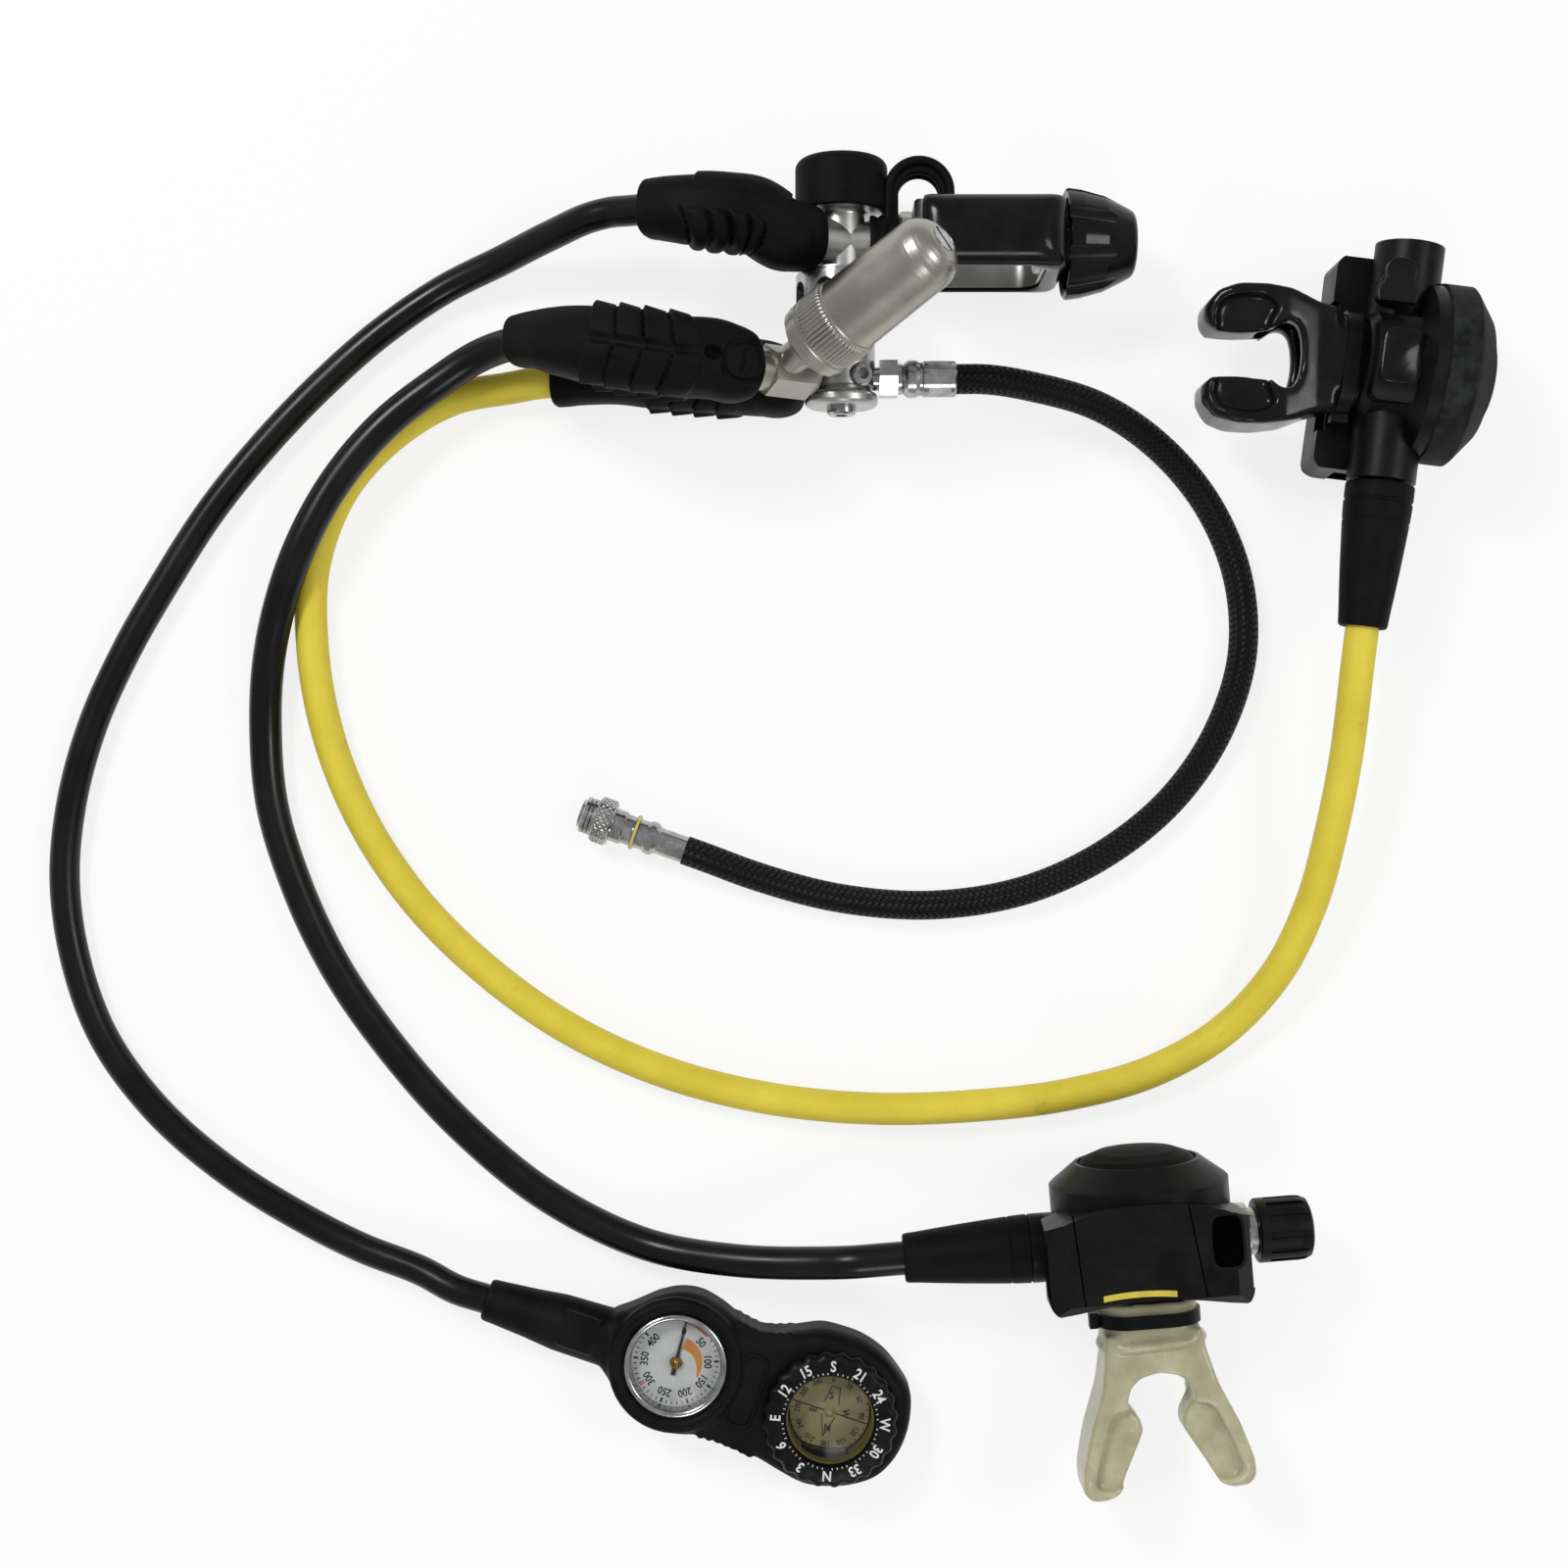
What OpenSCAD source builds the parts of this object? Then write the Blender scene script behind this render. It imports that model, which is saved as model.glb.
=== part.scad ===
// Scuba regulator set laid out on a table: a piston first stage with a yoke clamp and a
// humidifier capsule, two second stages, a console with gauge and compass, and an
// inflator hose with its quick connector. Millimetres, +Z up, the table at z = 0.

/* [First stage] */
// Height of the first stage's axis over the table
stage_z = 30; // [29:0.5:36]
// Radius of the swivel turret
turret_r = 13.5; // [12.5:0.5:15]
// Length of the turret
turret_l = 21; // [20:0.5:26]
// Outer radius of the spring chamber ring
ring_r = 17.5; // [16.5:0.5:19]
// Length of the spring chamber ring
ring_l = 24.5; // [23.5:0.5:30]
// Wall of the spring chamber ring
ring_wall = 3.3; // [2.5:0.1:4]
// Number of water windows round the chamber
ring_windows = 8; // [6:1:9]
// Radius of the body at its waist
waist_r = 9; // [8:0.5:10]
// Length of the waisted body
waist_l = 23.5; // [22:0.5:28]
// Radius of the rubber end cap
cap_r = 17.7; // [17.5:0.1:19]
// Length of the rubber end cap
cap_l = 21.5; // [18:0.5:26]
// Thickness of the turret's flange
flange_t = 5.5; // [4:0.5:8]
// Height of the turret bolt's head
bolt_head = 3; // [2.5:0.5:5]
// Radius of the turret bolt's shank
bolt_r = 4; // [3:0.5:5]
// Radius of the main spring's coil
spring_r = 11.6; // [10:0.2:12]
// Radius of the spring's wire
spring_wire = 1.1; // [0.8:0.1:1.2]
// Turns of the main spring
spring_turns = 5; // [4:1:5]
// Radius of the piston's stem
piston_r = 3; // [2.5:0.1:3.5]
// Stroke of the piston
piston_stroke = 0.8; // [0.5:0.1:1]

/* [Yoke] */
// Distance from the body's axis to the seat where the cylinder valve seals
inlet_seat = 34; // [32:1:38]
// Inside length of the yoke, from the seat to the clamp wall
yoke_inside = 42; // [40:1:50]
// Gap between the two arms
yoke_gap = 42; // [40:1:44]
// Width of the yoke's steel frame
yoke_w = 24; // [24:1:30]
// Rounding along the yoke's edges
yoke_edge = 7; // [5:0.5:9]
// Thickness of the frame's arms and end walls
yoke_t = 7; // [6:0.5:8]
// Thickness of the black sleeve over the frame
sleeve_t = 2; // [1.5:0.1:2]
// Radius of the clamp screw
screw_r = 6; // [5:0.5:7]
// Radius of the hand knob's rim
knob_r = 21; // [19:0.5:24]
// Length of the hand knob
knob_l = 27; // [26:1:34]
// Number of flutes round the hand knob
knob_flutes = 8; // [6:1:10]

/* [Humidifier] */
// Radius of the capsule's shell
capsule_r = 15; // [13:0.5:15.5]
// Length of the capsule from base to dome
capsule_l = 68; // [58:1:70]
// Length of the knurled band
knurl_l = 13; // [10:1:16]
// Across the flats of the hexagon adapter
adapter_af = 17; // [16:0.5:18]
// Length of the hexagon adapter
adapter_l = 26; // [24:1:28]
// Angle that the adapter and the gauge port rise at
port_rise = 35; // [32:1:38]

/* [Hoses] */
// Diameter of a low-pressure breathing hose
lp_d = 12.7; // [12:0.1:13.5]
// Diameter of the high-pressure hose
gauge_hose_d = 11.6; // [10:0.1:12]
// Diameter of the braided inflator hose
inflator_d = 11.5; // [11:0.1:12.5]
// Radius of the largest part of a hose protector
protector_r = 15; // [13:0.5:15]
// Radius of the high-pressure hose protector
gauge_protector_r = 13.5; // [12:0.5:14]
// Radius of the quick connector's sliding collar
collar_r = 9; // [8.5:0.1:9]
// Radius of the bore that takes the inflator nipple
connector_bore = 4.7; // [4.3:0.1:5]

/* [Second stages] */
// Radius of the front cover
cover_r = 34; // [33:0.5:36]
// Height of the octopus stage's barrel axis over the table
barrel_z = 36; // [36:0.5:40]
// Radius of the valve housing that crosses the case
housing_r = 13; // [12:0.5:14]
// Wall of the case and the cover
case_wall = 2.4; // [2:0.2:3]
// Radius of the purge button
button_r = 22; // [18:1:24]
// Travel of the purge button
purge_travel = 2.5; // [1.5:0.5:2.5]
// Width of the exhaust tee
tee_w = 80; // [76:1:90]
// Depth of the exhaust tee below the barrel's axis
tee_z = 36; // [35:0.5:36]
// Radius of the adjustment knob
dial_r = 12.2; // [11:0.2:13]
// Length of the adjustment knob
dial_l = 21; // [18:1:24]
// Number of flutes round the adjustment knob
dial_flutes = 12; // [10:1:16]

/* [Console] */
// Radius of the gauge's glass
gauge_lens_r = 17.4; // [16:0.2:20]
// Radius of the boot round the gauge
gauge_lobe_r = 28; // [27:0.5:31]
// Radius of the compass bezel
bezel_r = 26.2; // [25:0.2:29]
// Radius of the boot round the compass
compass_lobe_r = 31.5; // [31:0.5:35]
// Radius of the compass window
window_r = 17; // [15:0.5:19]
// Distance between the gauge and the compass
lobe_gap = 63; // [62:0.5:68]
// Height of the boot
boot_h = 24; // [22:0.5:28]
// Height of the high-pressure hose's axis where it enters the boot
console_z = 13; // [12:0.5:14]

/* [Hidden] */

// The layout is measured from the middle of the table; the origin is under the middle
// of the set without its hoses.
origin_x = 75.4;
origin_y = -18.7;
stage_x = 22;
stage_y = 155.5;

fit = 0.05;       // running fit, on the radius
clear = 0.3;      // gap between faces that move past each other

// First stage, along its axis from the plane of the low-pressure ports
turret_y0 = -5.5;
turret_y1 = turret_y0 + turret_l;
flange_y0 = turret_y0 - flange_t;
ring_y1 = turret_y1 + ring_l;
body_y1 = ring_y1 + waist_l;
cap_y1 = body_y1 + cap_l;
inlet_y = ring_y1 + waist_l / 2;
chamber_r = ring_r - ring_wall;
ring_floor = 3;
piston_y0 = turret_y1 + ring_floor + clear;
piston_head = 2.5;
spring_y0 = piston_y0 + piston_head + piston_stroke + 0.1;
spring_rise = ring_y1 - spring_y0 - 2 * spring_wire - 0.1;
spring_steps = 8;   // rings in each turn
spring_path = [for (i = [0:spring_steps * spring_turns]) let (a = 360 * i / spring_steps)
    [spring_r * cos(a), spring_r * sin(a), spring_rise * i / (spring_steps * spring_turns)]];
spring_gap = min([for (i = [0:len(spring_path) - 1], k = [i + spring_steps / 2:1:len(spring_path) - 1])
    norm(spring_path[k] - spring_path[i])]) - 2 * spring_wire;
echo(spring_gap = spring_gap);

// Yoke, along the inlet axis from the body's axis
yoke_x0 = inlet_seat - yoke_t;
yoke_x1 = inlet_seat + yoke_inside;
yoke_end = yoke_x1 + yoke_t;
yoke_half = yoke_gap / 2 + yoke_t;
knob_x0 = yoke_end + sleeve_t + 0.5;
screw_tip = yoke_x1 - 12;

// Directions of the ports round the turret: angle from +X towards +Z
port_r = 4.5;
thread_l = 4;
plug_angles = [57, 290];
octopus_angle = 202;
primary_angle = 180 - port_rise;

function arc(x, y, r, a0, a1, n = 8) =
    [for (i = [0:n]) let (a = a0 + (a1 - a0) * i / n) [x + r * cos(a), y + r * sin(a)]];
function unit(v) = v / norm(v);

// The point that lies d past a route's end, straight on
function past(p, d) = let (n = len(p)) p[n - 1] + d * unit(p[n - 1] - p[n - 2]);

// Direction of travel at point i of a route
function heading(p, i) =
    unit(p[min(i + 1, len(p) - 1)] - p[max(i - 1, 0)]);

// Points of one ring round a route, level side first
function ring_points(c, d, r, sides) =
    let (u = unit(cross(d, [0, 0, 1])), v = cross(u, d))
    [for (k = [0:sides - 1]) let (a = 360 * k / sides)
        c + r * (cos(a) * u + sin(a) * v)];

// A closed tube along route p; r is one radius, or a list with one for each point
module tube(p, r, sides) {
    n = len(p);
    radius = [for (i = [0:n - 1]) is_list(r) ? r[i] : r];
    points = [for (i = [0:n - 1]) each ring_points(p[i], heading(p, i), radius[i], sides)];
    walls = [for (i = [0:n - 2], k = [0:sides - 1])
        let (a = i * sides + k, b = i * sides + (k + 1) % sides)
        each [[a, b, b + sides], [a, b + sides, a + sides]]];
    ends = [for (k = [1:sides - 2])
        each [[0, k + 1, k],
            [(n - 1) * sides, (n - 1) * sides + k, (n - 1) * sides + k + 1]]];
    polyhedron(points = points, faces = [for (f = concat(walls, ends)) [f[0], f[2], f[1]]]);
}

// A solid of revolution about the Y axis; points are [radius, y]
module turned_y(points, sides = 96) {
    rotate([-90, 0, 0]) rotate_extrude($fn = sides) polygon(points);
}

// A solid of revolution about the X axis; points are [radius, x]
module turned_x(points, sides = 96) {
    rotate([0, 90, 0]) rotate_extrude($fn = sides) polygon(points);
}

// A cylinder along Y or X, from a to b
module rod_y(r, a, b) {
    translate([0, a, 0]) rotate([-90, 0, 0]) cylinder(h = b - a, r = r, $fn = 64);
}
module rod_x(r, a, b) {
    translate([a, 0, 0]) rotate([0, 90, 0]) cylinder(h = b - a, r = r, $fn = 64);
}

// A slab with rounded vertical edges, from the middle of its floor
module slab(size, r) {
    linear_extrude(size[2]) rounded(size[0], size[1], r);
}
module rounded(w, d, r) {
    union() {
        square([w - 2 * r, d], center = true);
        square([w, d - 2 * r], center = true);
        for (x = [-1, 1], y = [-1, 1])
            translate([x * (w / 2 - r), y * (d / 2 - r)]) circle(r, $fn = 48);
    }
}

module on_table() {
    translate([-origin_x, -origin_y, 0]) children();
}
module at_stage() {
    on_table() translate([stage_x, stage_y, stage_z]) children();
}
module at_inlet() {
    at_stage() translate([0, inlet_y, 0]) children();
}
// Turns +X to the direction of a port round the turret
module at_port(angle, y = 0) {
    at_stage() translate([0, y, 0]) rotate([0, -angle, 0]) children();
}

// ---------------------------------------------------------------- first stage

boss_r = 9;            // gauge port boss
boss_l = 17;
shoulder = 14.5;       // where the fittings seat on the turret
inlet_r = 8.5;         // neck from the body to the yoke
stem_end = inlet_y - 5.5;
fillet = 1.5;           // where the waist meets its end plates

// The waisted body, its two bosses and the bores that meet inside it
module first_stage_body() {
    in_cap = cap_r - 2.2;
    color("silver") at_stage() difference() {
        union() {
            turned_y(concat([[0, ring_y1], [ring_r - 0.8, ring_y1],
                [ring_r - 0.8, ring_y1 + 0.5]],
                arc(waist_r + fillet, ring_y1 + 0.5 + fillet, fillet, 270, 180),
                arc(waist_r + fillet, body_y1 - fillet, fillet, 180, 90),
                [[in_cap, body_y1], [in_cap, cap_y1 - 3.2], [0, cap_y1 - 3.2]]));
            translate([0, inlet_y, 0]) rod_x(inlet_r, 0, yoke_x0);
            translate([0, inlet_y, 0]) rotate([0, -primary_angle, 0]) rod_x(boss_r, 0, boss_l);
        }
        rod_y(piston_r + fit, ring_y1 - 1, stem_end);
        translate([0, inlet_y, 0]) rod_x(port_r, 5, yoke_x0 + 1);
        translate([0, inlet_y, 0]) rotate([0, -primary_angle, 0])
            rod_x(port_r, boss_l - 5, boss_l + 1);
    }
}

module body_cap() {
    in_cap = cap_r - 2.2;
    color("#1c1c1e") at_stage() turned_y(concat(
        [[in_cap, body_y1], [cap_r - 0.5, body_y1], [cap_r, body_y1 + 0.5]],
        arc(cap_r - 4, cap_y1 - 5, 4, 0, 70),
        [[0, cap_y1], [0, cap_y1 - 3.2], [in_cap, cap_y1 - 3.2]]));
}

// The perforated ring that lets water reach the spring
module ambient_ring() {
    window_r0 = 3.9;
    window_half = ring_l / 2 - 9;
    color("gainsboro") at_stage() difference() {
        turned_y([[0, turret_y1], [ring_r - 2.5, turret_y1], [ring_r, turret_y1 + 2.5],
            [ring_r, ring_y1 - 1], [ring_r - 0.8, ring_y1 - 0.8], [ring_r - 0.8, ring_y1],
            [chamber_r, ring_y1], [chamber_r, turret_y1 + ring_floor],
            [0, turret_y1 + ring_floor]]);
        rod_y(bolt_r, turret_y1 - 1, turret_y1 + ring_floor - 0.6);
        for (i = [0:ring_windows - 1])
            translate([0, (turret_y1 + ring_y1) / 2 + 1, 0])
                rotate([0, (i + 0.5) * 360 / ring_windows, 0]) {
                    for (y = [-window_half, window_half])
                        translate([0, y, 0]) rod_x(window_r0, chamber_r - 2, ring_r + 1);
                    translate([chamber_r - 2, -window_half, -window_r0])
                        cube([ring_wall + 3, 2 * window_half, 2 * window_r0]);
                }
    }
}

module main_spring() {
    color("dimgray") at_stage() translate([0, spring_y0 + spring_wire, 0])
        rotate([-90, 0, 0]) tube(spring_path, spring_wire, 6);
}

module piston() {
    y1 = piston_y0 + piston_head;
    color("goldenrod") at_stage() turned_y([[0, piston_y0], [chamber_r - clear, piston_y0],
        [chamber_r - clear, y1], [piston_r + 2, y1], [piston_r, y1 + 2],
        [piston_r, stem_end - piston_stroke - 1], [0, stem_end - piston_stroke - 1]]);
}

module turret() {
    edge = turret_r + 0.5;
    color("silver") at_stage() difference() {
        turned_y(concat([[bolt_r, flange_y0]], arc(edge - 2, flange_y0 + 2, 2, 270, 360, 6),
            arc(edge - 2, turret_y0 - 2, 2, 0, 90, 6),
            [[turret_r - 2.2, turret_y0 + 0.8], [turret_r - 0.6, turret_y0 + 2],
            [turret_r - 0.6, turret_y1 - 1.5], [turret_r - 1.6, turret_y1],
            [bolt_r, turret_y1]]));
        for (angle = concat([0, primary_angle, octopus_angle], plug_angles))
            rotate([0, -angle, 0]) rod_x(port_r, turret_r - thread_l, turret_r + 2);
    }
}

module turret_bolt() {
    color("silver") at_stage() difference() {
        turned_y([[0, flange_y0 - bolt_head], [bolt_r + 0.8, flange_y0 - bolt_head],
            [bolt_r + 1.6, flange_y0 - bolt_head + 0.8], [bolt_r + 1.6, flange_y0],
            [bolt_r, flange_y0], [bolt_r, turret_y1 + ring_floor - 0.6],
            [0, turret_y1 + ring_floor - 0.6]]);
        translate([0, flange_y0 - bolt_head - 1, 0]) rotate([-90, 0, 0])
            cylinder(h = 3.5, r = 2.6, $fn = 6);
    }
}

// A port plug with a hexagon socket, along +X from its seat
module port_plug(seat) {
    difference() {
        turned_x([[0, seat - thread_l], [port_r, seat - thread_l], [port_r, seat - 0.9],
            [4.5, seat - 0.9], [4.5, seat + 0.8], [3.9, seat + 1.6], [0, seat + 1.6]], 64);
        translate([seat - 1.5, 0, 0]) rotate([0, 90, 0]) cylinder(h = 4, r = 2.4, $fn = 6);
    }
}

// The turret's spare ports are plugged, and so is the top of the capsule
module plugs() {
    color("silver") {
        for (angle = plug_angles)
            at_port(angle) port_plug(turret_r);
        at_capsule() difference() {
            rod_x(capsule_plug_r, capsule_x1 - 6, capsule_x1 - 0.2);
            translate([capsule_x1 - 1, -capsule_plug_r - 1, -0.7])
                cube([2, 2 * capsule_plug_r + 2, 1.4]);
        }
    }
}

// ---------------------------------------------------------------- yoke clamp

// Nut and neck that hold the yoke, with the sealing face for the cylinder valve
module yoke_nut() {
    color("gainsboro") at_inlet() difference() {
        turned_x([[inlet_r, yoke_x0 - 5], [11.5, yoke_x0 - 5], [12.2, yoke_x0 - 4],
            [12.2, yoke_x0 - 0.2], [inlet_r, yoke_x0 - 0.2]]);
        translate([yoke_x0 - 2.6, 0, 0]) for (a = [0:60:300])
            rotate([a, 0, 0]) translate([-3, -4, 11.4]) cube([6, 8, 3]);
    }
    color("gainsboro") at_inlet() difference() {
        turned_x([[0, yoke_x0], [inlet_r, yoke_x0], [inlet_r, inlet_seat + 2],
            [inlet_r - 0.8, inlet_seat + 2.8], [0, inlet_seat + 2.8]]);
        rod_x(2.6, yoke_x0 - 1, inlet_seat + 4);
        rod_x(5.6, inlet_seat + 0.8, inlet_seat + 4);
    }
}

module yoke_outline(grow = 0) {
    translate([(yoke_x0 + yoke_end) / 2, 0])
        rounded(yoke_end - yoke_x0 + 2 * grow, 2 * yoke_half + 2 * grow, 11 + grow);
}

// The rounded section that the stirrup and its sleeve keep to, seen along the inlet
module yoke_section(grow, edge) {
    rotate([90, 0, 90]) linear_extrude(yoke_end + 2 * yoke_t)
        rounded(yoke_w + 2 * grow, 2 * (yoke_half + grow), edge);
}

// The steel stirrup: inlet seat at one end, the screw's thread at the other
module yoke() {
    color("silver") at_inlet() difference() {
        intersection() {
            union() {
                rotate([90, 0, 0]) linear_extrude(yoke_w, center = true) difference() {
                    yoke_outline();
                    translate([(inlet_seat + yoke_x1) / 2, 0])
                        rounded(yoke_inside, yoke_gap, 8);
                }
                rod_x(screw_r + 5, yoke_x1 - 2, yoke_end);
            }
            yoke_section(0, yoke_edge);
        }
        rod_x(inlet_r, yoke_x0 - 1, inlet_seat + 1);
        rod_x(screw_r + fit, yoke_x1 - 4, yoke_end + 1);
    }
}

// Smooth black sleeve over the arms and the clamp end, open over the valve's space
module yoke_sleeve() {
    start = yoke_x0 + 2;
    color("#111113") at_inlet() difference() {
        intersection() {
            rotate([90, 0, 0]) linear_extrude(yoke_w + 2 * sleeve_t, center = true)
                yoke_outline(sleeve_t);
            translate([start, -yoke_w, -40]) cube([yoke_end + sleeve_t - start, 2 * yoke_w, 80]);
            yoke_section(sleeve_t, yoke_edge + sleeve_t);
        }
        intersection() {
            rotate([90, 0, 0]) linear_extrude(yoke_w, center = true) yoke_outline();
            yoke_section(0, yoke_edge);
        }
        rotate([90, 0, 0]) linear_extrude(2 * yoke_w, center = true)
            translate([(inlet_seat + yoke_x1) / 2, 0]) rounded(yoke_inside, yoke_gap, 8);
        rod_x(screw_r + 3, yoke_x1, yoke_end + sleeve_t + 1);
    }
}

// The clamp screw with the cup point that bears on the valve
module yoke_screw() {
    color("silver") at_inlet() turned_x([[0, screw_tip], [2, screw_tip], [3.5, screw_tip + 2.5],
        [screw_r, screw_tip + 4], [screw_r, knob_x0 + 4], [screw_r - 2, knob_x0 + 4.5],
        [screw_r - 2, knob_x0 + knob_l - 8], [0, knob_x0 + knob_l - 8]]);
}

module yoke_knob() {
    color("#101012") at_inlet() difference() {
        turned_x(concat([[screw_r - 2 + fit, knob_x0 + 4.5], [knob_r - 3.5, knob_x0 + 4.5],
            [knob_r - 3.5, knob_x0 + 1]], arc(knob_r - 1.2, knob_x0 + 1.2, 1.2, 270, 360, 5),
            [[knob_r - 0.6, knob_x0 + 6], [knob_r - 3, knob_x0 + 15],
            [knob_r - 7, knob_x0 + knob_l - 4]],
            arc(knob_r - 11.5, knob_x0 + knob_l - 4, 4, 20, 90, 5),
            [[0, knob_x0 + knob_l], [0, knob_x0 + knob_l - 7.9],
            [screw_r - 2 + fit, knob_x0 + knob_l - 7.9]]));
        for (i = [0:knob_flutes - 1]) rotate([(i + 0.5) * 360 / knob_flutes, 0, 0])
            translate([knob_x0 + 6, 0, knob_r + 2.6]) rotate([0, 101, 0])
                cylinder(h = 2 * knob_l, r = 5, center = true, $fn = 48);
    }
}

// Soft ring round the inlet neck and the two straps that carry the dust cap
module dust_cap() {
    ring = waist_l / 2 - 0.9;
    x0 = waist_r + fillet + clear;
    x1 = yoke_x0 - 5.3;
    cap_x = inlet_seat + clear;
    strap_r = 1.9;
    leg_x = cap_r + strap_r + clear;
    leg_l = 9.5;
    bend = (leg_x + cap_x + 5) / 2;
    reach = cap_x + 5 - bend;
    color("#161618") at_inlet() {
        turned_x([[inlet_r + 0.1, x0], [ring, x0], [ring, x0 + 2], [ring - 0.9, x0 + 2.6],
            [ring - 0.9, x0 + 3.4], [ring, x0 + 4], [ring, x0 + 6], [ring - 0.9, x0 + 6.6],
            [ring - 0.9, x0 + 7.4], [ring, x0 + 8], [ring, x1], [inlet_r + 0.1, x1]]);
        turned_x([[0, inlet_seat + 3], [inlet_r + 0.2, inlet_seat + 3], [inlet_r + 0.2, cap_x],
            [ring - 1.5, cap_x], [ring - 1.5, cap_x + 6], [ring - 2.5, cap_x + 7], [0, cap_x + 7]]);
        for (z = [-3.2, 3.2]) translate([bend, ring - 2.2 + leg_l, z]) {
            rotate_extrude(angle = 180, $fn = 64) translate([reach, 0]) circle(strap_r, $fn = 32);
            for (x = [-reach, reach]) translate([x, -leg_l, 0]) rotate([-90, 0, 0])
                cylinder(h = leg_l, r = strap_r, $fn = 32);
        }
    }
}

// ---------------------------------------------------------------- humidifier

hex_x0 = shoulder + 2.5;
hex_x1 = shoulder + adapter_l - 5;
adapter_x1 = shoulder + adapter_l;
capsule_at = shoulder + 15.5;
capsule_az = 33;
capsule_el = 33;
capsule_x0 = 17;
capsule_x1 = capsule_x0 + capsule_l;
capsule_plug_r = 5.2;
knurl_x0 = capsule_x0 + 7;
knurl_x1 = knurl_x0 + knurl_l;
neck_r = 6.2;

// Turns +X to the capsule's axis, from the middle of the adapter
module at_capsule() {
    at_stage() translate([capsule_at * cos(primary_angle), 0, capsule_at * sin(primary_angle)])
        rotate([0, -capsule_el, capsule_az]) children();
}

// Hexagon block between the turret and the breathing hose, with the capsule's boss
module adapter() {
    color("silver") difference() {
        union() {
            at_port(primary_angle) {
                turned_x([[0, turret_r - thread_l], [port_r, turret_r - thread_l],
                    [port_r, shoulder],
                    [7.6, shoulder], [7.6, hex_x1], [7.8, hex_x1], [7.8, adapter_x1],
                    [port_r, adapter_x1], [port_r, adapter_x1 - 5], [0, adapter_x1 - 5]]);
                translate([hex_x0, 0, 0]) rotate([0, 90, 0]) rotate([0, 0, 30])
                    cylinder(h = hex_x1 - hex_x0, r = adapter_af / sqrt(3), $fn = 6);
            }
            at_capsule() rod_x(neck_r, 0, capsule_x0 - 4);
        }
        at_capsule() rod_x(3.5, capsule_x0 - 11, capsule_x0);
    }
}

// Stepped base of the capsule with its neck ring
module humidifier_base() {
    color("silver") at_capsule() difference() {
        turned_x([[3.5, capsule_x0 - 4], [neck_r + 1, capsule_x0 - 4],
            [neck_r + 1, capsule_x0 - 2.8], [neck_r, capsule_x0 - 2.4], [neck_r, capsule_x0],
            [capsule_r - 2.4, capsule_x0], [capsule_r - 0.6, capsule_x0 + 1.4],
            [capsule_r - 0.6, capsule_x0 + 3.4], [capsule_r, capsule_x0 + 3.8],
            [capsule_r, knurl_x0 - 0.6], [capsule_r - 0.6, knurl_x0],
            [capsule_r - 2, knurl_x0], [capsule_r - 2, knurl_x0 + 5],
            [capsule_r - 4, knurl_x0 + 5], [capsule_r - 4, capsule_x0 + 4],
            [3.5, capsule_x0 + 4]]);
    }
}

// Knurled band and smooth shell, hollow for the moist sponge
module humidifier_shell() {
    dome = 11;
    groups = 6;
    color("silver") at_capsule() difference() {
        turned_x(concat([[capsule_r - 2, knurl_x0], [capsule_r - 0.2, knurl_x0],
            [capsule_r - 0.2, knurl_x1], [capsule_r - 0.7, knurl_x1 + 0.6]],
            arc(capsule_r - 1.2 - dome, capsule_x1 - dome, dome, 0, 78, 8),
            [[capsule_plug_r, capsule_x1], [capsule_plug_r, capsule_x1 - 6],
            [capsule_plug_r + 2, capsule_x1 - 6],
            [capsule_r - 4, capsule_x1 - dome - 1], [capsule_r - 4, knurl_x0 + 5.2],
            [capsule_r - 2, knurl_x0 + 5.2]]));
        for (g = [0:groups - 1], k = [0:6])
            rotate([g * 360 / groups + k * 6, 0, 0])
                translate([knurl_x0 + 0.8, -0.4, capsule_r - 0.8])
                    cube([knurl_l - 1.6, 0.8, 2]);
    }
}

// ---------------------------------------------------------------- hoses

fitting_l = 3;
ferrule_l = 9;
ferrule_r = 5;
hex_r = 6.6;

function port_point(angle, y, d) =
    [stage_x + d * cos(angle), stage_y + y, stage_z + d * sin(angle)];

// A hose end screwed into a port: thread, shoulder and the ferrule that enters the boot
module fitting(seat) {
    turned_x([[0, seat - thread_l], [port_r, seat - thread_l], [port_r, seat], [hex_r, seat],
        [hex_r, seat + fitting_l - 0.4], [hex_r - 0.4, seat + fitting_l],
        [ferrule_r, seat + fitting_l], [ferrule_r, seat + fitting_l + ferrule_l],
        [0, seat + fitting_l + ferrule_l]], 64);
}

module hose_fittings() {
    color("silver") {
        at_port(primary_angle) fitting(adapter_x1);
        at_port(octopus_angle) fitting(shoulder);
        at_port(primary_angle, inlet_y) fitting(boss_l);
    }
}

// A rubber hose protector: a tube along its route, socketed over the ferrule
module protector(route, radii, angle, y, seat) {
    difference() {
        on_table() tube(route, radii, 20);
        at_port(angle, y) rod_x(ferrule_r, seat - 2, seat + ferrule_l);
    }
}

// Seats of the three protectors along their ports
gauge_seat = boss_l + fitting_l;
primary_seat = adapter_x1 + fitting_l;
octopus_seat = shoulder + fitting_l;

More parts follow.
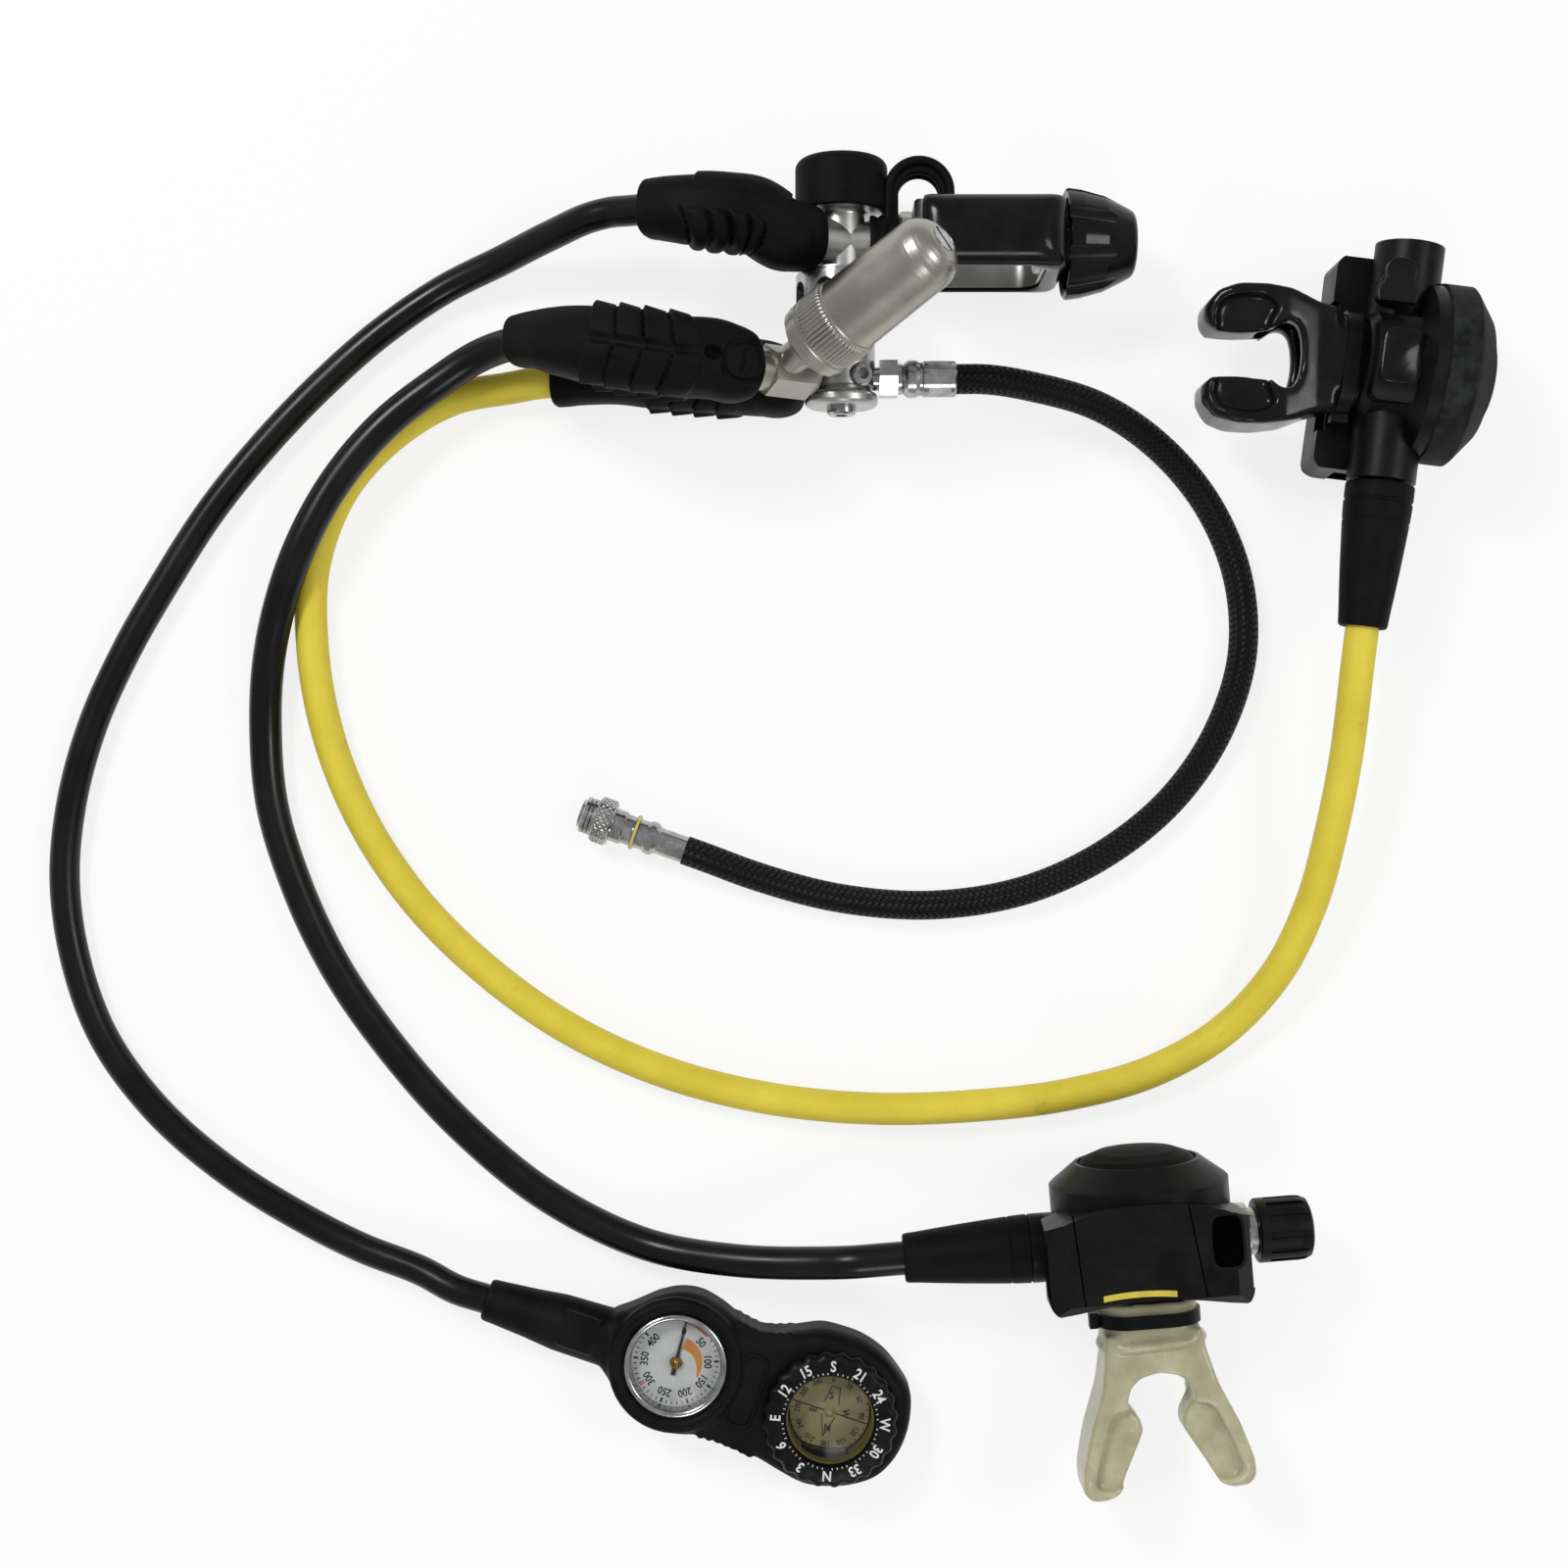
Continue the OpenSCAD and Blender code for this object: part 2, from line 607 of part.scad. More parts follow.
gauge_route = [port_point(primary_angle, inlet_y, gauge_seat),
    port_point(primary_angle, inlet_y, gauge_seat + 2),
    port_point(primary_angle, inlet_y, gauge_seat + 7), [-12, 213, 50], [-22, 214, 51],
    [-34, 215, 51], [-46, 216.5, 47], [-58, 217.5, 41], [-60, 217.6, 40]];
gauge_radii = [for (r = [-6.5, -3, -0.6, 0, 0.4, 0.2, -1.6, -4.4, -5]) gauge_protector_r + r];
primary_route = [port_point(primary_angle, 0, primary_seat),
    port_point(primary_angle, 0, primary_seat + 2),
    port_point(primary_angle, 0, primary_seat + 6), [-26, 157.5, 60], [-38, 158, 61.5],
    [-52, 160, 60.5], [-68, 163, 56], [-84, 166.5, 47], [-99, 169, 35.5], [-100, 169, 34.6]];
primary_radii = [for (r = [-6, -3, -0.6, 0, 0, -0.4, -1.6, -4, -5.6, -6.2]) protector_r + r];
octopus_route = [port_point(octopus_angle, 0, octopus_seat),
    port_point(octopus_angle, 0, octopus_seat + 5), [-8, 158, 17.6], [-20, 159, 15.6],
    [-40, 160, 15.4], [-60, 160, 14.5], [-76, 159, 12.6], [-88, 158, 10.6], [-89, 158, 10.4]];
octopus_radii = [for (r = [-6, -2.6, -0.4, 0, 0, -1, -3.4, -5.6, -6.2]) protector_r + r];

module gauge_protector() {
    color("#1b1b1d") protector(gauge_route, gauge_radii, primary_angle, inlet_y, gauge_seat);
}
module primary_protector() {
    color("#1b1b1d") protector(primary_route, primary_radii, primary_angle, 0, primary_seat);
}
module octopus_protector() {
    color("#1b1b1d") protector(octopus_route, octopus_radii, octopus_angle, 0, octopus_seat);
}

// Ends of the hoses at the second stages and the console
sleeve_x0 = cover_r + 10;
sleeve_l = 55;
tail_r = 8.5;          // swivel end of the barrel inside the sleeve
stem_r = 5.2;          // and the hose tail behind it
primary_at = [137, -174, cover_r + 0.5];
primary_turn = 4.5;
octopus_at = [233, 158, barrel_z];
octopus_turn = -97.2;
gauge_at = [-42, -225, 0];
console_turn = -18.5;
neck_bend = 1.1;
neck_end = 78;
inflator_x1 = shoulder + 29.5;
coupling_at = [-39, -26, collar_r];
coupling_turn = 160.3;
coupling_l = 43.5;
collar_x0 = 25.3;

function turned(p, a) = [p[0] * cos(a) - p[1] * sin(a), p[0] * sin(a) + p[1] * cos(a), p[2]];
function primary_point(x) = primary_at + turned([-x, 0, 0], primary_turn);
function octopus_point(x) = octopus_at + turned([x, 0, 0], octopus_turn);
function console_point(x) = gauge_at + turned([-x, 0, console_z], console_turn + neck_bend);
function coupling_point(x) = coupling_at + turned([x, 0, 0], coupling_turn);
function inflator_point(x) = [stage_x + x, stage_y, stage_z];

gauge_path = concat([past(gauge_route, 0), past(gauge_route, 6)], [[-72, 217, 35],
    [-90, 212, 25], [-110, 205, 14], [-134, 195, 7], [-158, 179, 5.8], [-182, 158, 5.8],
    [-205, 134, 5.8], [-226, 108, 5.8], [-244, 80, 5.8], [-260, 52, 5.8], [-273, 23, 5.8],
    [-281, -6, 5.8], [-284, -36, 5.8], [-280, -68, 5.8], [-269, -99, 5.8], [-248, -128, 5.8],
    [-222, -151, 5.8], [-194, -169, 5.8], [-166, -183, 7], [-142, -191.5, 10]],
    [console_point(neck_end + 12), console_point(neck_end + clear)]);
primary_path = concat([past(primary_route, 0), past(primary_route, 5)],
    [[-117, 166, 24], [-136, 155, 19.6], [-154, 141, 19.6], [-174, 118, 19.4],
    [-188, 93, 19], [-197, 70, 15], [-203, 46, 9], [-204.5, 20, 6.4], [-202, -8, 6.4],
    [-193, -38, 6.4], [-177, -72, 6.4], [-154, -105, 6.4], [-125, -137, 6.4],
    [-91, -164, 6.4], [-54, -181, 9.5], [-20, -185, 20], [14, -184, 30]],
    [primary_point(sleeve_x0 + sleeve_l + 12), primary_point(sleeve_x0 + sleeve_l)]);
octopus_path = concat([past(octopus_route, 0), past(octopus_route, 5)],
    [[-108, 156, 7.6], [-130, 152, 6.4],
    [-154, 138, 6.4], [-174, 116, 6.4], [-185, 88, 6.4], [-186, 54, 6.4], [-180, 20, 6.4],
    [-167, -13, 6.4], [-146, -45, 6.4], [-118, -73, 6.4], [-84, -97, 6.4], [-46, -114, 6.4],
    [-6, -124, 6.4], [34, -128, 6.4], [74, -127, 6.4], [112, -122.5, 6.4], [146, -113, 6.4],
    [172, -98, 7.5], [193, -74, 13], [205, -46, 20], [211, -18, 27], [215, 8, 32]],
    [octopus_point(sleeve_x0 + sleeve_l + 12), octopus_point(sleeve_x0 + sleeve_l)]);
inflator_path = concat([inflator_point(inflator_x1), inflator_point(inflator_x1 + 10)],
    [[98, 153, 25], [122, 147, 19], [146, 133, 12], [167, 110, 7], [179, 82, 5.8],
    [181, 52, 5.8], [172, 22, 5.8], [154, -5, 5.8], [129, -26, 5.8], [98, -41, 5.8],
    [62, -47.6, 5.8], [24, -45.4, 5.8], [-12, -36, 7]],
    [coupling_point(-8), coupling_point(0)]);

module gauge_hose() {
    color("#18181a") on_table() tube(gauge_path, gauge_hose_d / 2, 8);
}
module primary_hose() {
    color("#18181a") on_table() tube(primary_path, lp_d / 2, 8);
}
module octopus_hose() {
    color("#d9c53f") on_table() tube(octopus_path, lp_d / 2, 8);
}
module inflator_hose() {
    color("#18181a") on_table() tube(inflator_path, inflator_d / 2, 8);
}

// Tapered rubber sleeve between a breathing hose and its second stage
module hose_sleeve() {
    x1 = sleeve_x0 + sleeve_l;
    turned_x([[tail_r + fit, sleeve_x0], [housing_r - 0.3, sleeve_x0], [housing_r, sleeve_x0 + 0.8],
        [housing_r - 0.6, sleeve_x0 + 16], [9.6, x1 - 1.5], [9, x1], [0, x1],
        [0, x1 - 22], [stem_r + fit, x1 - 22], [stem_r + fit, sleeve_x0 + 7],
        [tail_r + fit, sleeve_x0 + 7]]);
}
module primary_sleeve() {
    color("#1b1b1d") at_primary() hose_sleeve();
}
module octopus_sleeve() {
    color("#1b1b1d") at_octopus() hose_sleeve();
}

// Chrome hose end at the turret: hexagon, groove, round bulge and flatted crimp
module inflator_fitting() {
    x = shoulder;
    color("gainsboro") at_stage() difference() {
        union() {
            rod_x(port_r, turret_r - thread_l, x);
            translate([x, 0, 0]) rotate([0, 90, 0]) cylinder(h = 7, r = 7.8, $fn = 6);
            turned_x([[0, x + 7], [6, x + 7], [6, x + 8.5], [5.4, x + 9], [6.2, x + 9.6],
                [7.2, x + 11], [7.2, x + 14], [6.4, x + 15.5], [6.4, x + 16.5],
                [6.9, x + 17], [6.9, inflator_x1 - 0.6], [6.4, inflator_x1], [0, inflator_x1]], 64);
        }
        for (a = [0:60:300]) rotate([a, 0, 0])
            translate([x + 19, -4, 6.4]) cube([8.5, 8, 2]);
    }
}

// Quick connector: body with its bore, and the spring-loaded collar that locks it
module at_coupling() {
    on_table() translate(coupling_at) rotate([0, 0, coupling_turn]) children();
}
module coupling_body() {
    color("gainsboro") at_coupling() turned_x([[0, 0], [5.3, 0], [5.3, 11], [6, 12],
        [6.7, 13], [6.7, 15], [5.9, 16.5], [5.9, 19.5], [6.9, 20], [6.9, 21.4],
        [5.9, 21.8], [5.9, coupling_l - 1], [5.4, coupling_l], [connector_bore, coupling_l],
        [connector_bore, coupling_l - 17], [0, coupling_l - 17]], 64);
}
module coupling_collar() {
    x = collar_x0;
    inner = 5.9 + fit;
    color("gainsboro") at_coupling() turned_x([[inner, x], [6.2, x], [6.6, x + 0.5],
        [6.6, x + 4.6], [collar_r - 0.5, x + 5], [collar_r, x + 5.5], [collar_r, x + 11.5],
        [collar_r - 0.5, x + 12], [7.3, x + 12.2], [7.3, x + 13.2], [6.8, x + 13.5],
        [7.3, x + 13.8], [7.3, x + 14.8], [6.8, x + 15.1], [7.3, x + 15.4],
        [7.3, x + 16.6], [6.8, x + 17], [inner, x + 17]], 64);
}

// ---------------------------------------------------------------- second stages
// Each stage has its own frame: +X along the barrel to the hose, +Y to the front
// cover, +Z away from the exhaust tee.

case_back = -14;
case_y = 12;           // plane where the cover meets the case
cover_y = 24;
lip_y = cover_y + 7;
rim_r = cover_r - 1;
bore_r = 9.5;
barrel_r = 7.5;
knob_end = cover_r;
hose_end = cover_r + 9;
outlet_w = 33;
outlet_h = 17;
neck_w = 37;
neck_h = 22;
plate_y = 12.8;
lever_l = 18;
lever_x = -14;
lever_y = plate_y - purge_travel - clear - 1.4;

module at_primary() {
    on_table() translate(primary_at) rotate([0, 0, primary_turn]) rotate([0, 180, 0]) children();
}
module at_octopus() {
    on_table() translate(octopus_at) rotate([0, 0, octopus_turn]) children();
}

// A bar along Y with a round-ended outline in the XZ plane
module oval_bar(w, h, y0, y1) {
    translate([0, y1, 0]) rotate([90, 0, 0]) linear_extrude(y1 - y0) union() {
        square([w - h, h], center = true);
        for (x = [-1, 1]) translate([x * (w - h) / 2, 0]) circle(h / 2, $fn = 48);
    }
}

// Outer form of the case, which the tee is also cut to
module case_form(grow = 0) {
    turned_y([[0, case_back - grow], [18 + grow, case_back - grow], [21 + grow, case_back + 3],
        [22 + grow, -2], [24 + grow, 2], [rim_r + grow, 7], [rim_r + grow, case_y],
        [0, case_y]]);
    rod_x(housing_r + grow, -knob_end, hose_end);
}

module stage_case(outlet_end) {
    inner = rim_r - 2;
    difference() {
        union() {
            case_form();
            oval_bar(outlet_w, outlet_h, outlet_end, case_back + 2);
            intersection() {
                translate([0, -2, 0]) slab([32, 22, 26.5], 4);
                rotate([90, 0, 0]) cylinder(h = 60, r = 26, center = true, $fn = 96);
            }
        }
        turned_y([[0, case_back + case_wall], [17, case_back + case_wall],
            [19.2, case_back + case_wall + 2], [19.8, -1], [21.8, 4.6], [inner, 8.6],
            [inner, case_y + 1], [0, case_y + 1]]);
        oval_bar(outlet_w - 4, outlet_h - 4, outlet_end - 1, case_back + 4);
        rod_x(bore_r, -knob_end - 1, hose_end + 1);
        rod_y(cover_r + clear, case_y, case_y + 5);
    }
}

// Front cover: a ring with a bevelled face and the opening for the purge button
module stage_cover() {
    turned_y([[rim_r - 1.6, case_y], [cover_r - 0.6, case_y], [cover_r, case_y + 0.6],
        [cover_r, cover_y - 1], [cover_r - 1, cover_y], [button_r + 2, lip_y],
        [button_r + 0.6, lip_y], [button_r + 0.6, lip_y - case_wall],
        [cover_r - case_wall, cover_y - 1.5], [cover_r - case_wall, case_y + 2],
        [rim_r - 1.6, case_y + 2]]);
}

// Flexible purge button with the boss that bears on the diaphragm
module stage_button() {
    r = button_r + clear;
    turned_y([[0, plate_y + 1.1], [5, plate_y + 1.1], [5, lip_y + 0.5], [14, lip_y],
        [button_r - 1.7, lip_y - 2.4], [button_r - 1.7, lip_y - 6.4],
        [button_r + 2.4, lip_y - 6.4], [button_r + 2.4, lip_y - 4.6],
        [r, lip_y - 4.2], [r, lip_y - 0.8], [button_r - 2, lip_y + 1.4],
        [button_r - 7, lip_y + 3.4], [button_r - 14, lip_y + 4.4], [0, lip_y + 4.8]]);
}

module stage_diaphragm() {
    r = rim_r - 2.3;
    turned_y([[0, plate_y], [16, plate_y], [20, plate_y + 1.4], [24, plate_y + 1.4],
        [27, plate_y - 0.2], [r, plate_y - 0.2], [r, plate_y + 0.6], [27.4, plate_y + 0.6],
        [24.4, plate_y + 2.2], [19.6, plate_y + 2.2], [15.6, plate_y + 0.8],
        [0, plate_y + 0.8]]);
}

// Demand lever: a bent strip with its cross pin in the barrel's lugs
module stage_lever() {
    tip = plate_y - clear - 0.1;
    translate([0, 0, -2.5]) linear_extrude(5) polygon([[lever_x - 1, lever_y - 0.5],
        [lever_x + 1, lever_y - 0.6], [lever_x + lever_l - 4, tip - 1.6],
        [lever_x + lever_l, tip - 1], [lever_x + lever_l, tip], [lever_x + lever_l - 1.5, tip],
        [lever_x + lever_l - 4, tip - 0.5], [lever_x - 1, lever_y + 0.5]]);
    translate([lever_x, lever_y, -4.6]) cylinder(h = 9.2, r = 0.9, $fn = 32);
}

// Valve barrel through the case, with the lever's lugs and the seat for the knob
module stage_barrel(end, stem_bore) {
    difference() {
        union() {
            turned_x([[0, -end], [bore_r, -end], [bore_r, -22], [barrel_r, -20],
                [barrel_r, 20], [bore_r, 22], [bore_r, hose_end], [tail_r, hose_end],
                [tail_r, sleeve_x0 + 6.8], [stem_r, sleeve_x0 + 6.9], [stem_r, sleeve_x0 + 20],
                [0, sleeve_x0 + 20]]);
            for (z = [-4.4, 2.8]) translate([lever_x - 2, 5, z])
                cube([4, lever_y - 5 + 1.4, 1.6]);
        }
        translate([lever_x, lever_y, -6]) cylinder(h = 12, r = 0.9 + fit, $fn = 32);
        translate([lever_x - 2.5, lever_y - 1.4, -2.8]) cube([5, 4, 5.6]);
        if (stem_bore > 0) rod_x(stem_bore, -end - 1, -end + 12);
        rod_x(2.5, 0, sleeve_x0 + 21);
    }
}

// Exhaust tee: a bevelled box that wraps under the case, open at both ends. Its front edge
// follows the cover, and sag is how far the back edge is drawn in at the middle.
module stage_tee(x0, x1, back, sag) {
    front = 20;
    top = -8;
    mid = (x0 + x1) / 2;
    length = x1 - x0;
    difference() {
        intersection() {
            translate([mid, (back + front) / 2, -tee_z])
                slab([length, front - back, tee_z + top], 6);
            translate([0, 40, 0]) rotate([90, 0, 0]) linear_extrude(80)
                polygon([[x0 + 1, top], [x0, -tee_z + 7], [x0 + 7, -tee_z],
                    [x1 - 7, -tee_z], [x1, -tee_z + 7], [x1 - 1, top]]);
            translate([x0 - 1, 0, 0]) rotate([90, 0, 90]) linear_extrude(length + 2)
                polygon([[back, top], [back, -tee_z + 6], [back + 5, -tee_z],
                    [front, -tee_z], [front, top]]);
            translate([0, 0, -tee_z - 1]) linear_extrude(tee_z) polygon([[x0, back],
                [mid - 28, back + 0.3 * sag], [mid - 18, back + 0.7 * sag], [mid - 8, back + sag],
                [mid + 8, back + sag], [mid + 18, back + 0.7 * sag],
                [mid + 28, back + 0.3 * sag], [x1, back], [x1, 12], [mid + 28, 16],
                [mid + 18, 18.6], [mid + 8, front], [mid - 8, front], [mid - 18, 18.6],
                [mid - 28, 16], [x0, 12]]);
        }
        case_form(0.1);
        rod_x(housing_r + 0.1, x0 - 1, x1 + 1);
        rod_y(cover_r + 0.1, case_y - 1.5, front + 1);
        oval_bar(neck_w + 3, neck_h + 3, back - 1, case_back + 1);
        translate([-25, back - 1, -14]) cube([50, -22 - back + 1, 8]);
        for (x = [x0, x1]) translate([x, -4, -22]) cube([16, 22, 15], center = true);
    }
}

// Half of a mouthpiece's outline, from the neck round the arm to the arch
primary_outline = [[18.5, -33], [19, -40], [22, -54], [28.5, -70], [32.5, -84], [33, -91],
    [30, -95.5], [24, -96], [19, -93], [15.5, -86], [7.5, -71], [8, -67], [13, -59],
    [11, -53], [7, -50], [0, -48.5]];
octopus_outline = [[19, -24], [21, -32], [25, -42], [26.5, -52], [26.5, -62], [24, -70],
    [18, -75], [12, -75], [8.5, -71], [8, -62], [9, -50], [12, -46.5], [13, -43],
    [11, -40], [6, -38.5], [0, -38]];

// The wings may stand a few degrees off the neck, towards the hose
module mouthpiece(outline, start, high, lean) {
    half = concat([[0, outline[0][1]]], outline);
    tip = min([for (p = outline) p[1]]);
    root = outline[0][1];
    difference() {
        union() {
            oval_bar(neck_w, neck_h, root - 6, start);
            translate([0, root, 0]) rotate([0, 0, lean]) translate([0, -root, 0])
            intersection() {
                translate([0, 0, -high]) linear_extrude(2 * high)
                    union() for (s = [0, 1]) mirror([s, 0]) polygon(half);
                translate([-50, 0, 0]) rotate([90, 0, 90]) linear_extrude(100)
                    polygon([[root, -neck_h / 2], [root - 8, -neck_h / 2], [root - 20, -high],
                        [tip + 10, -high], [tip + 2, -high + 3], [tip - 1, -high + 8],
                        [tip - 1, high - 8], [tip + 2, high - 3], [tip + 10, high],
                        [root - 20, high], [root - 8, neck_h / 2], [root, neck_h / 2]]);
            }
        }
        oval_bar(outlet_w, outlet_h, root - 1.2, start + 1);
        oval_bar(outlet_w - 4, outlet_h - 4, root - 30, root);
    }
}

// Tie band round the neck, with its locking head
module tie(y, w) {
    difference() {
        oval_bar(neck_w + 2.4, neck_h + 2.4, y - w / 2, y + w / 2);
        oval_bar(neck_w, neck_h, y - w, y + w);
    }
    translate([neck_w / 2 + 1, y - w / 2 - 0.5, -3]) cube([3.4, w + 1, 5]);
}

primary_outlet = -34;
octopus_outlet = -25;
primary_neck = -22;
octopus_neck = -15;
adjust_x0 = knob_end + 9;

module primary_case() { color("#222326") at_primary() stage_case(primary_outlet); }
module primary_cover() { color("#26272a") at_primary() stage_cover(); }
module primary_button() { color("#2b2c2f") at_primary() stage_button(); }
module primary_diaphragm() { color("#bfb9a8") at_primary() stage_diaphragm(); }
module primary_lever() { color("silver") at_primary() stage_lever(); }
module primary_barrel() {
    color("silver") at_primary() {
        stage_barrel(knob_end + 1, 4 + fit);
        difference() {
            turned_x([[4 + fit, -adjust_x0 + 0.3], [9, -adjust_x0 + 0.3],
                [9, -adjust_x0 + 3], [11, -adjust_x0 + 3.4], [11, -knob_end - 1],
                [4 + fit, -knob_end - 1]]);
        }
    }
}
// Fluted adjustment knob with its stem
module primary_knob() {
    x1 = -adjust_x0;
    x0 = x1 - dial_l;
    color("#1a1a1c") at_primary() difference() {
        turned_x([[0, x0], [dial_r - 3.5, x0], [dial_r - 1.2, x0 + 1], [dial_r - 0.2, x0 + 3.5],
            [dial_r, x0 + 6], [dial_r, x1 - 0.6], [dial_r - 0.6, x1], [4, x1],
            [4, x1 + 14], [0, x1 + 14]]);
        for (i = [0:dial_flutes - 1]) rotate([i * 360 / dial_flutes, 0, 0])
            translate([x0 - 1, 0, dial_r + 0.5]) rotate([0, 90, 0]) rotate([0, 0, 45])
                cylinder(h = dial_l - 3, r = 2, $fn = 4);
    }
}
module primary_tee() { color("#1f2023") at_primary() stage_tee(-tee_w / 2 + 4, tee_w / 2, -20.6, 5.3); }
module primary_mouthpiece() {
    color("#b9b295") at_primary() mouthpiece(primary_outline, primary_neck, 13, -2);
}
module primary_tie() { color("#141416") at_primary() tie(-29, 5); }

// The octopus case also carries the post of the venturi lever
vane_x = -27;
vane_y = -8;
vane_z = 21;
module octopus_case() {
    color("#222326") at_octopus() difference() {
        union() {
            stage_case(octopus_outlet);
            translate([vane_x, vane_y, 8]) cylinder(h = vane_z - 8, r = 6, $fn = 64);
        }
        rod_x(bore_r, -knob_end - 1, hose_end + 1);
        translate([vane_x, vane_y, vane_z - 5]) cylinder(h = 10, r = 2.5 + fit, $fn = 48);
    }
}
module octopus_cover() { color("#26272a") at_octopus() stage_cover(); }
module octopus_button() { color("#3a3b3d") at_octopus() stage_button(); }
module octopus_diaphragm() { color("#bfb9a8") at_octopus() stage_diaphragm(); }
module octopus_lever() { color("silver") at_octopus() stage_lever(); }
module octopus_barrel() { color("silver") at_octopus() stage_barrel(knob_end, 0); }
module octopus_plug() {
    x0 = -knob_end - 13;
    color("#1f2023") at_octopus() turned_x([[0, x0 - 1.5], [4, x0 - 1.3], [8, x0 - 0.6],
        [10, x0], [housing_r, x0], [housing_r, -knob_end], [0, -knob_end]]);
}
// Thumb lever over the barrel, turning on its post
module venturi_lever() {
    color("#2a2b2d") at_octopus() translate([vane_x, vane_y, vane_z + clear]) {
        translate([0, 0, -5 - clear + 0.3]) cylinder(h = 6, r = 2.5, $fn = 48);
        linear_extrude(4.5) polygon(concat([[7.2, -6.6], [7.2, 6.6], [3, 7.6]],
            arc(-4.5, 1, 4.8, 60, 180, 6), arc(-4.5, -1, 4.8, 180, 300, 6), [[3, -7.6]]));
    }
}
module octopus_tee() {
    color("#17181a") at_octopus() stage_tee(-tee_w / 2 - 4, tee_w / 2, -25, 0.5);
}
module octopus_mouthpiece() {
    color("#101012") at_octopus() mouthpiece(octopus_outline, octopus_neck, 14, 5);
}
module octopus_tie() { color("#141416") at_octopus() tie(-19, 5.4); }

// ---------------------------------------------------------------- console
// The console's frame has its origin on the table under the gauge, +X to the compass.

gauge_r = gauge_lens_r + 3;
compass_r = window_r + 6;
neck_in = window_r + 3.5;     // fixed neck that the bezel turns on
boot_floor = 3;

module at_console() {
    on_table() translate(gauge_at) rotate([0, 0, console_turn]) children();
}
module at_compass() {
    at_console() translate([lobe_gap, 0, 0]) children();
}

// A round puck with rounded edges, standing on the table
module lobe(r, h, e) {
    rotate_extrude($fn = 128) polygon(concat([[0, 0], [r - e, 0]], arc(r - e, e, e, 270, 360, 6),
        arc(r - e, h - e, e, 0, 90, 6), [[0, h]]));
}

module console_boot() {
    waist = 22;
    neck = 11.2;
    color("#202123") at_console() difference() {
        union() {
            lobe(gauge_lobe_r, boot_h, 6);
            translate([lobe_gap, 0, 0]) lobe(compass_lobe_r, boot_h, 6);
            translate([0, 0, 1.5]) linear_extrude(boot_h - 3) polygon(concat(
                [[6, -gauge_lobe_r + 3], [16, -waist - 2], [26, -waist], [34, -waist - 1],
                [44, -compass_lobe_r + 5], [44, compass_lobe_r - 5], [34, waist + 1],
                [26, waist], [16, waist + 2], [6, gauge_lobe_r - 3]]));
            rotate([0, 0, neck_bend]) translate([0, 0, console_z])
                turned_x([[0, -neck_end], [gauge_hose_d / 2 + 1.8, -neck_end],
                    [gauge_hose_d / 2 + 2.4, -neck_end + 1], [neck, -neck_end + 30],
                    [console_z - 1.5, -neck_end + 46], [console_z - 1.5, -20], [0, -20]]);
        }
        translate([0, 0, boot_floor]) cylinder(h = boot_h, r = gauge_r, $fn = 96);
        translate([lobe_gap, 0, boot_floor]) cylinder(h = boot_h, r = compass_r, $fn = 96);
    }
}

gauge_top = boot_h + 1.5;
dial_z = gauge_top - 8;

module gauge_case() {
    color("#c8c8c8") at_console() difference() {
        translate([0, 0, boot_floor]) rotate_extrude($fn = 96) polygon([[0, 0], [gauge_r, 0],
            [gauge_r, gauge_top - boot_floor - 0.8], [gauge_r - 0.8, gauge_top - boot_floor],
            [gauge_lens_r, gauge_top - boot_floor], [gauge_lens_r, dial_z - boot_floor],
            [0, dial_z - boot_floor]]);
        translate([0, 0, dial_z - 4]) cylinder(h = 5, r = 0.6 + fit, $fn = 32);
    }
}
module gauge_dial() {
    color("#e9e9e4") at_console() translate([0, 0, dial_z]) difference() {
        cylinder(h = 0.8, r = gauge_lens_r, $fn = 96);
        translate([0, 0, -1]) cylinder(h = 3, r = 0.6 + fit, $fn = 32);
    }
}
// Pressure needle on its arbor, pointing at zero
module gauge_needle() {
    needle_zero = 94;
    needle_l = gauge_lens_r - 1.2;
    color("#1a1a1a") at_console() translate([0, 0, dial_z]) {
        translate([0, 0, -3.5]) cylinder(h = 5.2, r = 0.6, $fn = 32);
        translate([0, 0, 1.1]) cylinder(h = 1, r = 2.2, $fn = 48);
        translate([0, 0, 1.2]) rotate([0, 0, needle_zero]) linear_extrude(0.6)
            polygon([[-5, -0.9], [-5, 0.9], [needle_l, 0.2], [needle_l, -0.2]]);
    }
}
module gauge_lens() {
    r = gauge_lens_r;
    color("#dfe8ee", 0.35) at_console() translate([0, 0, gauge_top - 2.6])
        rotate_extrude($fn = 96) polygon([[0, 0], [r, 0], [r, 2], [r - 2, 2.9],
            [r - 7, 4.2], [r / 3, 4.9], [0, 5.1]]);
}

compass_floor = boot_h - 12;
compass_top = boot_h + 4;
module compass_case() {
    color("#1d1e20") at_compass() difference() {
        rotate_extrude($fn = 96) polygon([[0, boot_floor], [compass_r, boot_floor],
            [compass_r, boot_h], [neck_in, boot_h], [neck_in, compass_top],
            [window_r, compass_top], [window_r, compass_floor], [0, compass_floor]]);
        translate([0, 0, compass_floor - 3]) cylinder(h = 4, r = 0.8 + fit, $fn = 32);
    }
}
